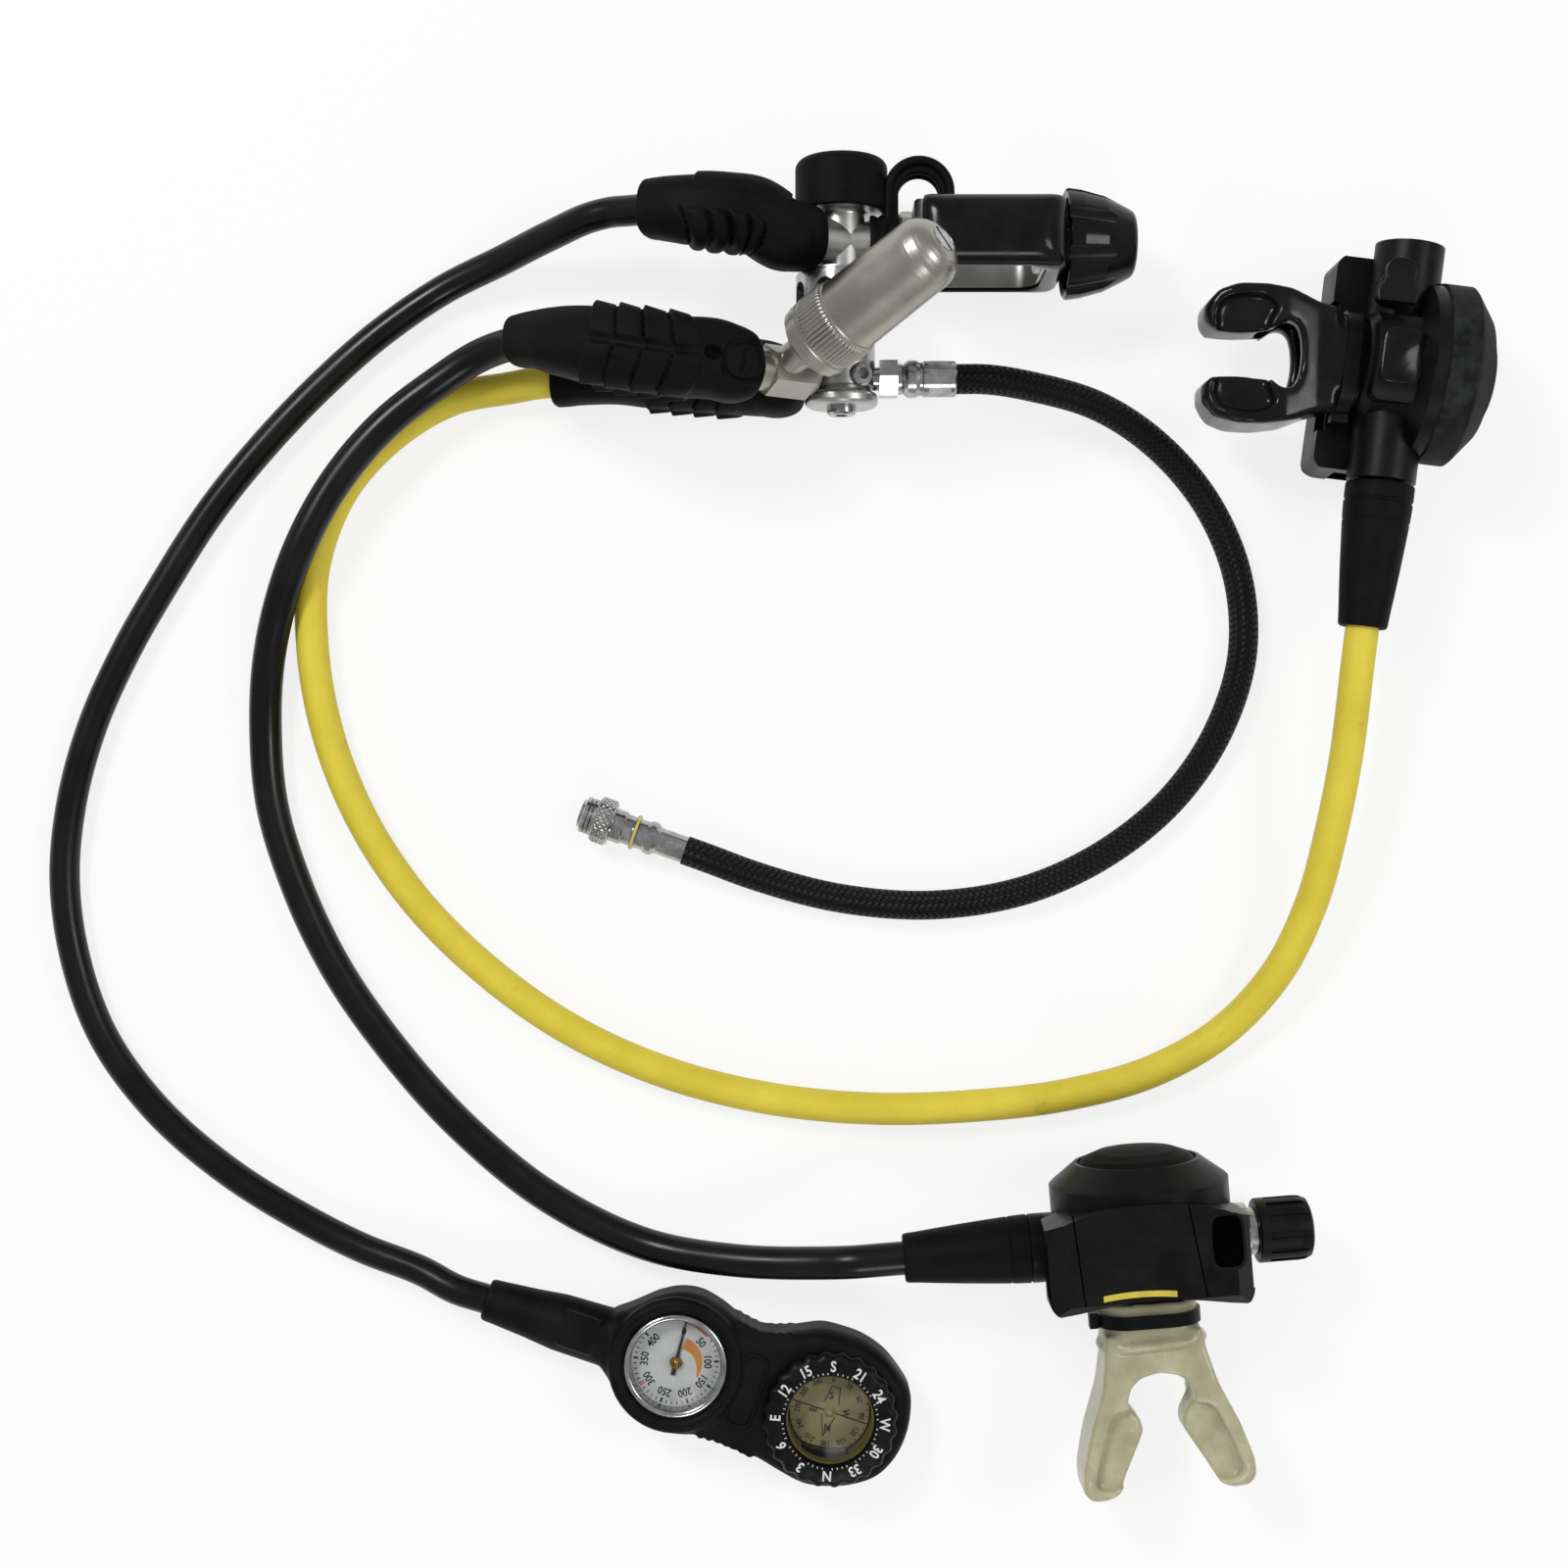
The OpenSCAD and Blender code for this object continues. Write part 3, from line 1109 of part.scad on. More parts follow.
// Magnet card on its pivot, turning inside the bowl
module compass_card() {
    color("#c9c98a") at_compass() translate([0, 0, compass_floor]) {
        translate([0, 0, -2.5]) cylinder(h = 5, r = 0.8, $fn = 32);
        translate([0, 0, 2.5]) cylinder(h = 1.2, r = window_r - 1.5, $fn = 96);
        translate([0, 0, 3.7]) cylinder(h = 1.4, r1 = 2.4, r2 = 1, $fn = 32);
    }
}
module compass_lens() {
    r = window_r;
    color("#dfe8ee", 0.35) at_compass() translate([0, 0, compass_top - 4.5])
        rotate_extrude($fn = 96) polygon([[0, 0], [r, 0], [r, 4], [r - 1.5, 4.9],
            [r - 6, 6.4], [r / 3, 7.2], [0, 7.4]]);
}
// Rotating bezel with its grip notches
module compass_bezel() {
    lip = window_r + 0.4;
    z0 = boot_h + clear;
    z1 = compass_top + clear + 1.4;
    color("#17181a") at_compass() difference() {
        rotate_extrude($fn = 128) polygon([[neck_in + fit, z0], [bezel_r - 0.5, z0],
            [bezel_r, z0 + 0.5], [bezel_r, z1 - 2.6], [bezel_r - 2, z1 - 0.8],
            [lip + 1.4, z1], [lip, z1 - 0.3], [lip, compass_top + clear],
            [neck_in + fit, compass_top + clear]]);
        for (i = [0:23]) rotate([0, 0, i * 15]) translate([bezel_r + 0.7, 0, z0 - 1])
            cylinder(h = 12, r = 1.3, $fn = 16);
    }
}

first_stage_body();
ambient_ring();
body_cap();
main_spring();
piston();
turret();
turret_bolt();
plugs();
yoke_nut();
yoke();
yoke_sleeve();
yoke_screw();
yoke_knob();
dust_cap();
adapter();
humidifier_base();
humidifier_shell();
hose_fittings();
gauge_hose();
gauge_protector();
primary_hose();
primary_protector();
primary_sleeve();
octopus_hose();
octopus_protector();
octopus_sleeve();
inflator_hose();
inflator_fitting();
coupling_body();
coupling_collar();
primary_case();
primary_cover();
primary_button();
primary_diaphragm();
primary_lever();
primary_barrel();
primary_knob();
primary_tee();
primary_mouthpiece();
primary_tie();
octopus_case();
octopus_cover();
octopus_button();
octopus_diaphragm();
octopus_lever();
octopus_barrel();
octopus_plug();
venturi_lever();
octopus_tee();
octopus_mouthpiece();
octopus_tie();
console_boot();
gauge_case();
gauge_dial();
gauge_needle();
gauge_lens();
compass_case();
compass_bezel();
compass_card();
compass_lens();
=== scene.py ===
# %% [markdown]
# # A scuba regulator set, laid out on a table
# A first stage with its yoke clamp, two second stages on breathing hoses, a console with a
# pressure gauge and a compass, and an inflator hose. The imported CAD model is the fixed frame:
# its rigid pieces stay and get real finishes here. Its soft pieces (hoses, rubber protectors,
# mouthpieces, boot) and the dials' rims and glass are replaced by richer forms in their places.

# %% Load the frame
import math

import bmesh
import bpy
import numpy as np
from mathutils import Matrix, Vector


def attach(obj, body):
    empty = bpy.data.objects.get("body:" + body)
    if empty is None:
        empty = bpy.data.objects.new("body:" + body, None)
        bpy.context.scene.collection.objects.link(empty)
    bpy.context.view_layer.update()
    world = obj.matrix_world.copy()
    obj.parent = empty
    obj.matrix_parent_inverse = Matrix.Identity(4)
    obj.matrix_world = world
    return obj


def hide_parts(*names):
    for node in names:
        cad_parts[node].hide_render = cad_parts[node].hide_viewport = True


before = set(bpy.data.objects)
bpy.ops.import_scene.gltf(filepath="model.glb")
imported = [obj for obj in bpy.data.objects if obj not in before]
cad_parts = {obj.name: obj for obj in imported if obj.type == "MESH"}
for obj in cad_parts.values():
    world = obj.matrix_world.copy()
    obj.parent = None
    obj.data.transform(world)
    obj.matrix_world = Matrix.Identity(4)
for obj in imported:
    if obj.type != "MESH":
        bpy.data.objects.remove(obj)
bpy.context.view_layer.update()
MM = 0.001

# %% [markdown]
# ## Camera
# The set is seen from straight above, through a lens of moderate length, so tall pieces lean
# outwards a little. The camera is made first, because the room that cords take is judged by it.

# %% Camera
ORIGIN = np.array([75.4, -18.7, 0.0])      # the frame's origin, in the layout's millimetres
CAMERA_HEIGHT = 900.0                      # mm over the layout's zero
SENSOR = 36.0                              # mm wide
LENS = 52.0                                # mm of focal length
FAR = 20.0                                 # m, beyond the table's corners

camera_data = bpy.data.cameras.new("camera")
camera_data.sensor_width = SENSOR
camera_data.lens = LENS
camera_data.clip_end = FAR
camera = bpy.data.objects.new("camera", camera_data)
camera.location = (-ORIGIN[0] * MM, -ORIGIN[1] * MM, CAMERA_HEIGHT * MM)
bpy.context.scene.collection.objects.link(camera)
bpy.context.scene.camera = camera
print("view is", round(CAMERA_HEIGHT * SENSOR / LENS), "mm wide at the table")

# %% [markdown]
# ## Helpers for shapes
# Every new surface is a grid of points worked out with numpy as whole arrays. One function joins
# the grid's points into faces. One finishes a piece: it gives it its shading and material, and
# says which rigid body it rides on; the CAD node, if any, that it stands for is hidden.

# %% Grids and pieces
def grid_faces(rows, columns, closed_rows=False, closed_columns=True):
    """Quads between neighbouring points of a rows x columns grid, wrapping round where closed."""
    i = np.arange(rows if closed_rows else rows - 1)[:, None]
    j = np.arange(columns if closed_columns else columns - 1)[None, :]
    here, along = i * columns, (i + 1) % rows * columns
    right = (j + 1) % columns
    return np.stack([here + j, here + right, along + right, along + j], -1).reshape(-1, 4)


def finish_piece(obj, material, body, sharp=40, node=None):
    """Smooth shading with crisp edges past the angle `sharp`, a material and a body; the CAD node
    that the piece stands for, if any, is hidden."""
    obj.data.materials.clear()
    obj.data.materials.append(material)
    obj.data.shade_smooth()
    obj.data.set_sharp_from_angle(angle=math.radians(sharp))
    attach(obj, body)
    if node:
        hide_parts(node)


def mesh_object(name, points, faces):
    """A linked mesh object at the origin; points are in mm, in the object's frame."""
    mesh = bpy.data.meshes.new(name)
    mesh.from_pydata((np.asarray(points, float).reshape(-1, 3) * MM).tolist(), [], faces)
    mesh.update()
    obj = bpy.data.objects.new(name, mesh)
    bpy.context.scene.collection.objects.link(obj)
    return obj


def closed_tube(name, grid):
    """A tube from a grid of rings (rows along it, columns round it), with a flat cap at each end.
    The columns are turned about where they run clockwise, so that the faces point outwards."""
    rows, columns = grid.shape[:2]
    ring = grid[rows // 2] - grid[rows // 2].mean(0)
    area = np.cross(ring, np.roll(ring, -1, axis=0)).sum(0)
    if area @ (grid[rows // 2 + 1].mean(0) - grid[rows // 2].mean(0)) < 0:
        grid = grid[:, ::-1]
    faces = grid_faces(rows, columns).tolist()
    faces.append(list(range(columns))[::-1])
    faces.append(list(range((rows - 1) * columns, rows * columns)))
    return mesh_object(name, grid, faces)


def spline(points, spacing):
    """Points about `spacing` apart on a smooth curve: a cubic Hermite curve through the given
    points, whose slope at each is the chord between its neighbours over their distance."""
    p = np.asarray(points, float)
    chord = np.linalg.norm(np.diff(p, axis=0), axis=1)
    at = np.concatenate([[0], np.cumsum(chord)])
    slope = np.gradient(p, at, axis=0)
    s = np.linspace(0, at[-1], int(at[-1] / spacing) + 2)
    k = np.clip(np.searchsorted(at, s, side="right") - 1, 0, len(p) - 2)
    h = chord[k][:, None]
    t = ((s - at[k]) / chord[k])[:, None]
    return ((2 * t**3 - 3 * t**2 + 1) * p[k] + (t**3 - 2 * t**2 + t) * h * slope[k]
            + (3 * t**2 - 2 * t**3) * p[k + 1] + (t**3 - t**2) * h * slope[k + 1])


def rings(path, radius, around):
    """Rings round a path: the centre plus radius times (cos a) along the level sideways direction
    and (sin a) along the direction that is square to it and to the path, so a = 90 degrees is up.
    radius is one number, one for each ring, or a full rows x columns table."""
    ahead = np.gradient(path, axis=0)
    ahead /= np.linalg.norm(ahead, axis=1)[:, None]
    side = np.cross(ahead, [0, 0, 1])
    side /= np.linalg.norm(side, axis=1)[:, None]
    up = np.cross(side, ahead)
    angle = np.linspace(0, 2 * np.pi, around, endpoint=False)
    out = np.cos(angle)[:, None] * side[:, None] + np.sin(angle)[:, None] * up[:, None]
    radius = np.broadcast_to(np.asarray(radius, float), (around, len(path))).T \
        if np.ndim(radius) < 2 else radius
    return path[:, None] + radius[..., None] * out


def ramp(x, low, high):
    """0 below low, 1 above high and a smooth S between them: 3t^2 - 2t^3."""
    t = np.clip((x - low) / (high - low), 0, 1)
    return t * t * (3 - 2 * t)


def bump(x, low, high, edge):
    """1 between low and high, falling smoothly to 0 over `edge` outside them."""
    return ramp(x, low - edge, low) * (1 - ramp(x, high, high + edge))


# %% [markdown]
# ## Helpers for finishes
# A finish is a small graph of shader nodes. One function adds a node with its settings and links,
# and the colours are written as on screen, in sRGB hex, and turned to linear light once.

# %% Colours and nodes
def linear(code):
    """Linear RGBA of an sRGB hex colour: c/12.92 below 0.04045, else ((c+0.055)/1.055)^2.4."""
    c = np.array([int(code[i:i + 2], 16) for i in (1, 3, 5)]) / 255
    rgb = np.where(c <= 0.04045, c / 12.92, ((c + 0.055) / 1.055) ** 2.4)
    return (*rgb.tolist(), 1.0)


def add(tree, kind, links=(), **settings):
    """Adds a shader node. Settings name its properties, or its sockets where there is no such
    property; links are (socket here, node there, socket there)."""
    node = tree.nodes.new("ShaderNode" + kind)
    for name, value in settings.items():
        if hasattr(node, name):
            setattr(node, name, value)
        else:
            node.inputs[name.replace("_", " ")].default_value = value
    for here, other, there in links:
        tree.links.new(other.outputs[there], node.inputs[here])
    return node


def new_material(name, colour, metallic=0.0, roughness=0.5, **sockets):
    """A material whose shader has these flat values; patterns are linked in afterwards."""
    material = bpy.data.materials.new(name)
    material.use_nodes = True
    shader = material.node_tree.nodes["Principled BSDF"]
    shader.inputs["Base Color"].default_value = linear(colour)
    shader.inputs["Metallic"].default_value = metallic
    shader.inputs["Roughness"].default_value = roughness
    for socket, value in sockets.items():
        shader.inputs[socket.replace("_", " ")].default_value = value
    return material, material.node_tree, shader


def object_point(tree, place=(0, 0, 0)):
    """Object coordinates, which are metres from the frame's origin, moved by `place`."""
    where = add(tree, "TexCoord")
    return add(tree, "Mapping", [("Vector", where, "Object")], Location=place)


def worn_material(name, colour, roughness, colours, grain, raised, rough, patch, metallic=0.0,
                  **sockets):
    """Most finishes: two colours mixed by cloudy patches `patch` mm across, a roughness that
    wanders with them between two values, and a fine grain, `grain` mm across, that stands
    `raised` mm proud."""
    material, tree, shader = new_material(name, colour, metallic, roughness, **sockets)
    point = object_point(tree)
    patches = add(tree, "TexNoise", [("Vector", point, "Vector")], Scale=1000 / patch,
                  Detail=5.0, Roughness=0.6)
    mix = add(tree, "ValToRGB", [("Fac", patches, "Fac")])
    for element, position, code in zip(mix.color_ramp.elements, (0.36, 0.66), colours):
        element.position = position
        element.color = linear(code)
    tree.links.new(mix.outputs["Color"], shader.inputs["Base Color"])
    sheen = add(tree, "MapRange", [("Value", patches, "Fac")], From_Min=0.3, From_Max=0.7,
                To_Min=rough[0], To_Max=rough[1])
    tree.links.new(sheen.outputs["Result"], shader.inputs["Roughness"])
    fine = add(tree, "TexNoise", [("Vector", point, "Vector")], Scale=1000 / grain, Detail=3.0)
    relief = add(tree, "Bump", [("Height", fine, "Fac")], Strength=0.6, Distance=raised * MM)
    tree.links.new(relief.outputs["Normal"], shader.inputs["Normal"])
    return material

# %% [markdown]
# ## Metal finishes
# Three kinds of plating show on the set. The capsule is bead-blasted and nickel plated: a soft,
# warm, even shine. The body, the turret and the yoke have a satin chrome, cooler and brighter.
# The spring ring, fittings and quick connector are polished and chromed: sharp reflections. The
# spring, the demand levers and the clamp's screw are stainless steel, and the piston is brass.

# %% Metals
# Bead-blasted nickel plate: warm grey, a fine grain of about 0.25 mm, faint handling marks.
NICKEL = worn_material("satin nickel plate", "#a8a59d", 0.32, ("#9d9a92", "#b0ada5"),
                       grain=0.25, raised=0.012, rough=(0.3, 0.4), patch=24, metallic=1.0)
# Cast and machined brass under satin chrome: cooler and brighter than the capsule.
SATIN = worn_material("satin chrome plate", "#b9bab8", 0.3, ("#aeafac", "#bdbebb"),
                      grain=0.3, raised=0.012, rough=(0.28, 0.4), patch=16, metallic=1.0)
# Polished chrome plate: nearly a mirror, with duller water marks of about 5 mm.
CHROME = worn_material("polished chrome plate", "#b4b5b5", 0.16, ("#949596", "#bdbebe"),
                       grain=0.6, raised=0.006, rough=(0.12, 0.28), patch=5, metallic=1.0)
# Drawn stainless wire and strip: a dark steel grey, with darker and paler patches about 4 mm
# across.
STEEL = worn_material("plain stainless steel", "#8b8c8c", 0.3, ("#5f6062", "#9c9d9d"),
                      grain=0.4, raised=0.01, rough=(0.25, 0.45), patch=4, metallic=1.0)
# Turned brass, as on the piston's head and the needle's hub.
BRASS = worn_material("turned brass", "#b8964f", 0.25, ("#a8843f", "#c9a761"),
                      grain=0.4, raised=0.01, rough=(0.2, 0.35), patch=4, metallic=1.0)
print("made", len(bpy.data.materials), "metals")

# %% [markdown]
# ## Rubber and plastic finishes
# Moulded rubber is matt, with a fine grain and pale dust in patches. The glossy black parts are
# smooth nylon and lacquered metal, with a ripple that only the reflections show. The worn cover
# of the octopus has paler, rubbed places, so its two colours lie further apart.

# %% Rubbers
def moulded_rubber(name, dark, pale, rough=(0.5, 0.68), patch=11.0, shine=0.08):
    """Compression-moulded rubber: nearly black, dusty patches, a grain of about half a mm."""
    return worn_material(name, dark, 0.55, (dark, pale), 0.5, 0.03, rough, patch,
                         Specular_IOR_Level=shine)


def gloss_black(name, colour="#0b0b0c"):
    """Smooth moulded or lacquered black: nearly a mirror, with a slight ripple of 0.8 mm."""
    return worn_material(name, colour, 0.12, (colour, "#151517"), 0.8, 0.004, (0.1, 0.24), 12.0,
                         Specular_IOR_Level=0.18)


def extruded_rubber(name, colours, rough):
    """A hose's extruded jacket: smooth, with broad cloudy patches and a fine grain."""
    return worn_material(name, colours[0], 0.4, colours, 0.7, 0.012, rough, 30.0,
                         Specular_IOR_Level=0.25)


def hose_stains(material, marks):
    """Scuffs and stains on the yellow jacket: a dark tint where sparse noise passes a level."""
    tree = material.node_tree
    shader = tree.nodes["Principled BSDF"]
    base = shader.inputs["Base Color"].links[0].from_socket
    point = object_point(tree, (0.31, 0.12, 0.0))
    spots = add(tree, "TexNoise", [("Vector", point, "Vector")], Scale=1000 / 16.0, Detail=8.0,
                Roughness=0.75)
    where = add(tree, "MapRange", [("Value", spots, "Fac")], From_Min=0.62, From_Max=0.74,
                To_Min=0.0, To_Max=0.55)
    mix = add(tree, "MixRGB", [("Fac", where, "Result")], blend_type="MIX")
    tree.links.new(base, mix.inputs["Color1"])
    mix.inputs["Color2"].default_value = linear(marks)
    tree.links.new(mix.outputs["Color"], shader.inputs["Base Color"])
    return material


YARN_LENGTH = 2.6                  # mm along the hose from bundle to bundle
YARNS_AROUND = 14.0                # bundles of each set round the hose
YARN_HEIGHT = 0.35                 # mm


def braided_nylon():
    """A braided jacket: two sets of flat yarn bundles cross at a slant, over one and under one.
    The map's u and v are turned into bundle counts. The height falls from each bundle's middle
    to its edge, and is taken from the set that lies on top. The colour falls with the height, to
    black at the edges: painted shade in the weave's hollows."""
    material, tree, shader = new_material("braided nylon jacket", "#121214", 0.0, 0.42,
                                          Specular_IOR_Level=0.12)
    place = add(tree, "UVMap", uv_map="hose")
    parts = add(tree, "SeparateXYZ", [("Vector", place, "UV")])
    along = add(tree, "Math", [(0, parts, "X")], operation="MULTIPLY")
    along.inputs[1].default_value = 1000 / YARN_LENGTH
    around = add(tree, "Math", [(0, parts, "Y")], operation="MULTIPLY")
    around.inputs[1].default_value = YARNS_AROUND
    counts, depths = [], []
    for sign in ("ADD", "SUBTRACT"):
        slant = add(tree, "Math", [(0, along, "Value"), (1, around, "Value")], operation=sign)
        cell = add(tree, "Math", [(0, slant, "Value")], operation="FRACT")
        middle = add(tree, "Math", [(0, cell, "Value")], operation="SUBTRACT")
        middle.inputs[1].default_value = 0.5
        depths.append(add(tree, "Math", [(0, middle, "Value")], operation="ABSOLUTE"))
        counts.append(add(tree, "Math", [(0, slant, "Value")], operation="FLOOR"))
    both = add(tree, "Math", [(0, counts[0], "Value"), (1, counts[1], "Value")],
               operation="ADD")
    parity = add(tree, "Math", [(0, both, "Value")], operation="PINGPONG")
    parity.inputs[1].default_value = 1.0
    top = add(tree, "Mix", [("Factor", parity, "Value"), ("A", depths[0], "Value"),
                            ("B", depths[1], "Value")], data_type="FLOAT")
    height = add(tree, "MapRange", [("Value", top, "Result")], From_Min=0.0, From_Max=0.5,
                 To_Min=1.0, To_Max=0.0)
    relief = add(tree, "Bump", [("Height", height, "Result")], Strength=0.9,
                 Distance=YARN_HEIGHT * MM)
    tree.links.new(relief.outputs["Normal"], shader.inputs["Normal"])
    # Painted shade: the colour runs from grey-black on a bundle's middle to black at its edge.
    shade = add(tree, "ValToRGB", [("Fac", height, "Result")])
    shade.color_ramp.elements[0].color = linear("#020203")
    shade.color_ramp.elements[1].color = linear("#141517")
    tree.links.new(shade.outputs["Color"], shader.inputs["Base Color"])
    return material


RUBBER = moulded_rubber("moulded black rubber", "#080809", "#111113")
BOOT = moulded_rubber("moulded boot rubber", "#0a0a0b", "#131415", (0.44, 0.58), 20.0)
PLASTIC = moulded_rubber("fine-grained black nylon", "#070708", "#0f1011", (0.32, 0.46), 13.0,
                         0.14)
WORN = moulded_rubber("worn cover rubber", "#101112", "#2b2c2d", (0.55, 0.75), 6.0, 0.12)
GLOSS = gloss_black("gloss black lacquer")
MOUTH_BLACK = gloss_black("gloss black silicone", "#0d0d0e")
JACKET = extruded_rubber("black rubber jacket", ("#060607", "#0e0e0f"), (0.22, 0.36))
YELLOW = hose_stains(extruded_rubber("yellow rubber jacket", ("#d2bf3a", "#dfcb45"),
                                     (0.42, 0.6)), "#8c7a2c")
BRAID = braided_nylon()
print("with rubber, plastic and braid,", len(bpy.data.materials), "materials")

# %% [markdown]
# ## Clear and printed finishes
# The primary's mouthpiece is clear silicone that has yellowed: light scatters a little inside it.
# The gauge and the compass sit under polished acrylic. The dial is white printed aluminium, and
# the compass card is a pale, luminous yellow-green plastic.

# %% Silicone, lens and print
# Clear silicone, yellowed by age: cloudy inside, with a soft shine.
SILICONE = worn_material("yellowed clear silicone", "#ada98b", 0.3, ("#a39e7f", "#bab699"),
                         grain=0.9, raised=0.008, rough=(0.2, 0.32), patch=14, IOR=1.41,
                         Subsurface_Weight=0.3, Subsurface_Scale=0.006,
                         Subsurface_Radius=(1.0, 0.8, 0.45))
# The diaphragms' milky silicone discs.
MEMBRANE = worn_material("milky silicone membrane", "#b9b5a6", 0.45, ("#a9a596", "#c4c0b2"),
                         grain=0.8, raised=0.01, rough=(0.4, 0.5), patch=8)


def lens_acrylic():
    """Polished clear acrylic over the dials: thin, so it is seen through rather than bent by,
    with finger smears that dull its shine in places."""
    material, tree, shader = new_material("clear acrylic", "#1c2024", 0.0, 0.04, IOR=1.49,
                                          Specular_IOR_Level=0.6, Alpha=0.12)
    point = object_point(tree)
    smears = add(tree, "TexNoise", [("Vector", point, "Vector")], Scale=1000 / 9.0, Detail=3.0)
    shine = add(tree, "MapRange", [("Value", smears, "Fac")], From_Min=0.3, From_Max=0.7,
                To_Min=0.09, To_Max=0.15)
    tree.links.new(shine.outputs["Result"], shader.inputs["Roughness"])
    return material


def printed(name, colour, other):
    """A printed or painted face: its colour, a little uneven, and almost no grain."""
    return worn_material(name, colour, 0.4, (colour, other), 0.5, 0.002, (0.35, 0.5), 6.0)


LENS_CLEAR = lens_acrylic()
DIAL = printed("white dial print", "#d3d6d4", "#dfe1df")
CARD = printed("luminous card", "#969168", "#a19c72")
BOWL = printed("amber compass bowl", "#62552a", "#726432")
INK = printed("black ink", "#141415", "#1b1b1c")
RED_INK = printed("red ink", "#c8402f", "#b93a2b")
ORANGE_INK = printed("orange ink", "#dd9a45", "#d3893a")
WHITE_INK = printed("white ink", "#d6d7d3", "#c7c8c4")
# Near black for painted shade, laid where a seam's groove or an opening would be in shadow.
SHADE_BLACK = moulded_rubber("shadowed gap", "#020202", "#040404", (0.8, 0.9), 6.0, 0.0)
YELLOW_BAND = printed("yellow identification band", "#cfbd45", "#bcaa3c")
print("in all", len(bpy.data.materials), "materials")

# %% [markdown]
# ## Which finish each rigid piece gets
# The rigid pieces come from the CAD model as they are. This table gives each its finish, and the
# soft pieces that are made again below aren't in it.

# %% Finishes of the rigid pieces
FINISHES = {
    SATIN: ["first_stage_body", "turret", "yoke", "yoke_nut"],
    NICKEL: ["adapter", "humidifier_base", "humidifier_shell"],
    CHROME: ["ambient_ring", "turret_bolt", "plugs", "hose_fittings", "inflator_fitting",
             "coupling_body", "coupling_collar", "primary_barrel"],
    STEEL: ["main_spring", "yoke_screw", "primary_lever", "octopus_lever"],
    BRASS: ["piston"],
    RUBBER: ["body_cap", "primary_button", "octopus_button"],
    GLOSS: ["yoke_knob"],
    PLASTIC: ["primary_case", "octopus_case", "primary_tee", "octopus_tee", "primary_cover",
              "primary_knob", "octopus_plug", "primary_tie", "octopus_tie", "octopus_barrel",
              "compass_case"],
    WORN: ["octopus_cover"],
    MEMBRANE: ["primary_diaphragm", "octopus_diaphragm"],
    DIAL: ["gauge_dial"],
    CARD: ["compass_card"],
    INK: ["gauge_needle"],
}


# %% [markdown]
# ## Hoses
# Four hoses leave the first stage. Each is a round jacket swept along its route, which is the
# CAD model's own route in the same millimetres. The map's u runs along the hose in metres and
# its v goes once round, so that the braid follows the bends.

# %% Routes
def turned(points, degrees):
    """Points of two or three coordinates, turned about the vertical axis."""
    a = math.radians(degrees)
    x, y, *rest = np.moveaxis(np.asarray(points, float), -1, 0)
    return np.stack([x * math.cos(a) - y * math.sin(a), x * math.sin(a) + y * math.cos(a),
                     *rest], -1)


# Where each unit's own zero lies, in mm, and the degrees by which the unit is turned
STAGE = np.array([22.0, 155.5, 30.0])          # middle of the turret's port plane
PRIMARY_AT, PRIMARY_TURN = np.array([137.0, -174.0, 34.5]), 4.5
OCTOPUS_AT, OCTOPUS_TURN = np.array([233.0, 158.0, 36.0]), -97.2
GAUGE_AT, CONSOLE_TURN, NECK_BEND = np.array([-42.0, -225.0, 0.0]), -18.5, 1.1
COUPLING_AT, COUPLING_TURN = np.array([-39.0, -26.0, 9.0]), 160.3
PORT_RISE = 35.0                   # degrees over the level
INLET_Y = 51.75                    # from the port plane to the high-pressure port
SLEEVE_END = 99.0                  # from the octopus's middle
NECK_END, NECK_HEIGHT = 78.3, 13.0             # from the gauge's middle, and over the table
FITTING_END = 44.0                 # from the stage's axis


def primary_point(x):
    """The point x mm from the primary's middle towards its hose."""
    return PRIMARY_AT + turned([-x, 0, 0], PRIMARY_TURN)


def octopus_point(x):
    """The point x mm from the octopus's middle towards its hose."""
    return OCTOPUS_AT + turned([x, 0, 0], OCTOPUS_TURN)


def console_point(x):
    """The point x mm from the gauge's middle along the neck of the boot."""
    return GAUGE_AT + turned([-x, 0, NECK_HEIGHT], CONSOLE_TURN + NECK_BEND)


def coupling_point(x):
    """The point x mm along the quick connector from its hose."""
    return COUPLING_AT + turned([x, 0, 0], COUPLING_TURN)


def port_point(degrees, y, d):
    """A point d from the stage's axis along a port that rises from +X towards +Z."""
    a = math.radians(degrees)
    return STAGE + [d * math.cos(a), y, d * math.sin(a)]


def past(points, d):
    """The point that lies d past a route's end, straight on."""
    p = np.asarray(points[-2:], float)
    step = p[1] - p[0]
    return p[1] + d * step / np.linalg.norm(step)


# How far from the stage's axis each protector starts, and the directions of the ports
GAUGE_SEAT, PRIMARY_SEAT, OCTOPUS_SEAT = 20.0, 42.5, 17.5
UP_PORT, OCTOPUS_PORT = 180 - PORT_RISE, 202.0
gauge_guard = [port_point(UP_PORT, INLET_Y, GAUGE_SEAT),
               port_point(UP_PORT, INLET_Y, GAUGE_SEAT + 2),
               port_point(UP_PORT, INLET_Y, GAUGE_SEAT + 7), (-12, 213, 50), (-22, 214, 51),
               (-34, 215, 51), (-46, 216.5, 47), (-58, 217.5, 41), (-60, 217.6, 40)]
primary_guard = [port_point(UP_PORT, 0, PRIMARY_SEAT), port_point(UP_PORT, 0, PRIMARY_SEAT + 2),
                 port_point(UP_PORT, 0, PRIMARY_SEAT + 6), (-26, 157.5, 60), (-38, 158, 61.5),
                 (-52, 160, 60.5), (-68, 163, 56), (-84, 166.5, 47), (-99, 169, 35.5),
                 (-100, 169, 34.6)]
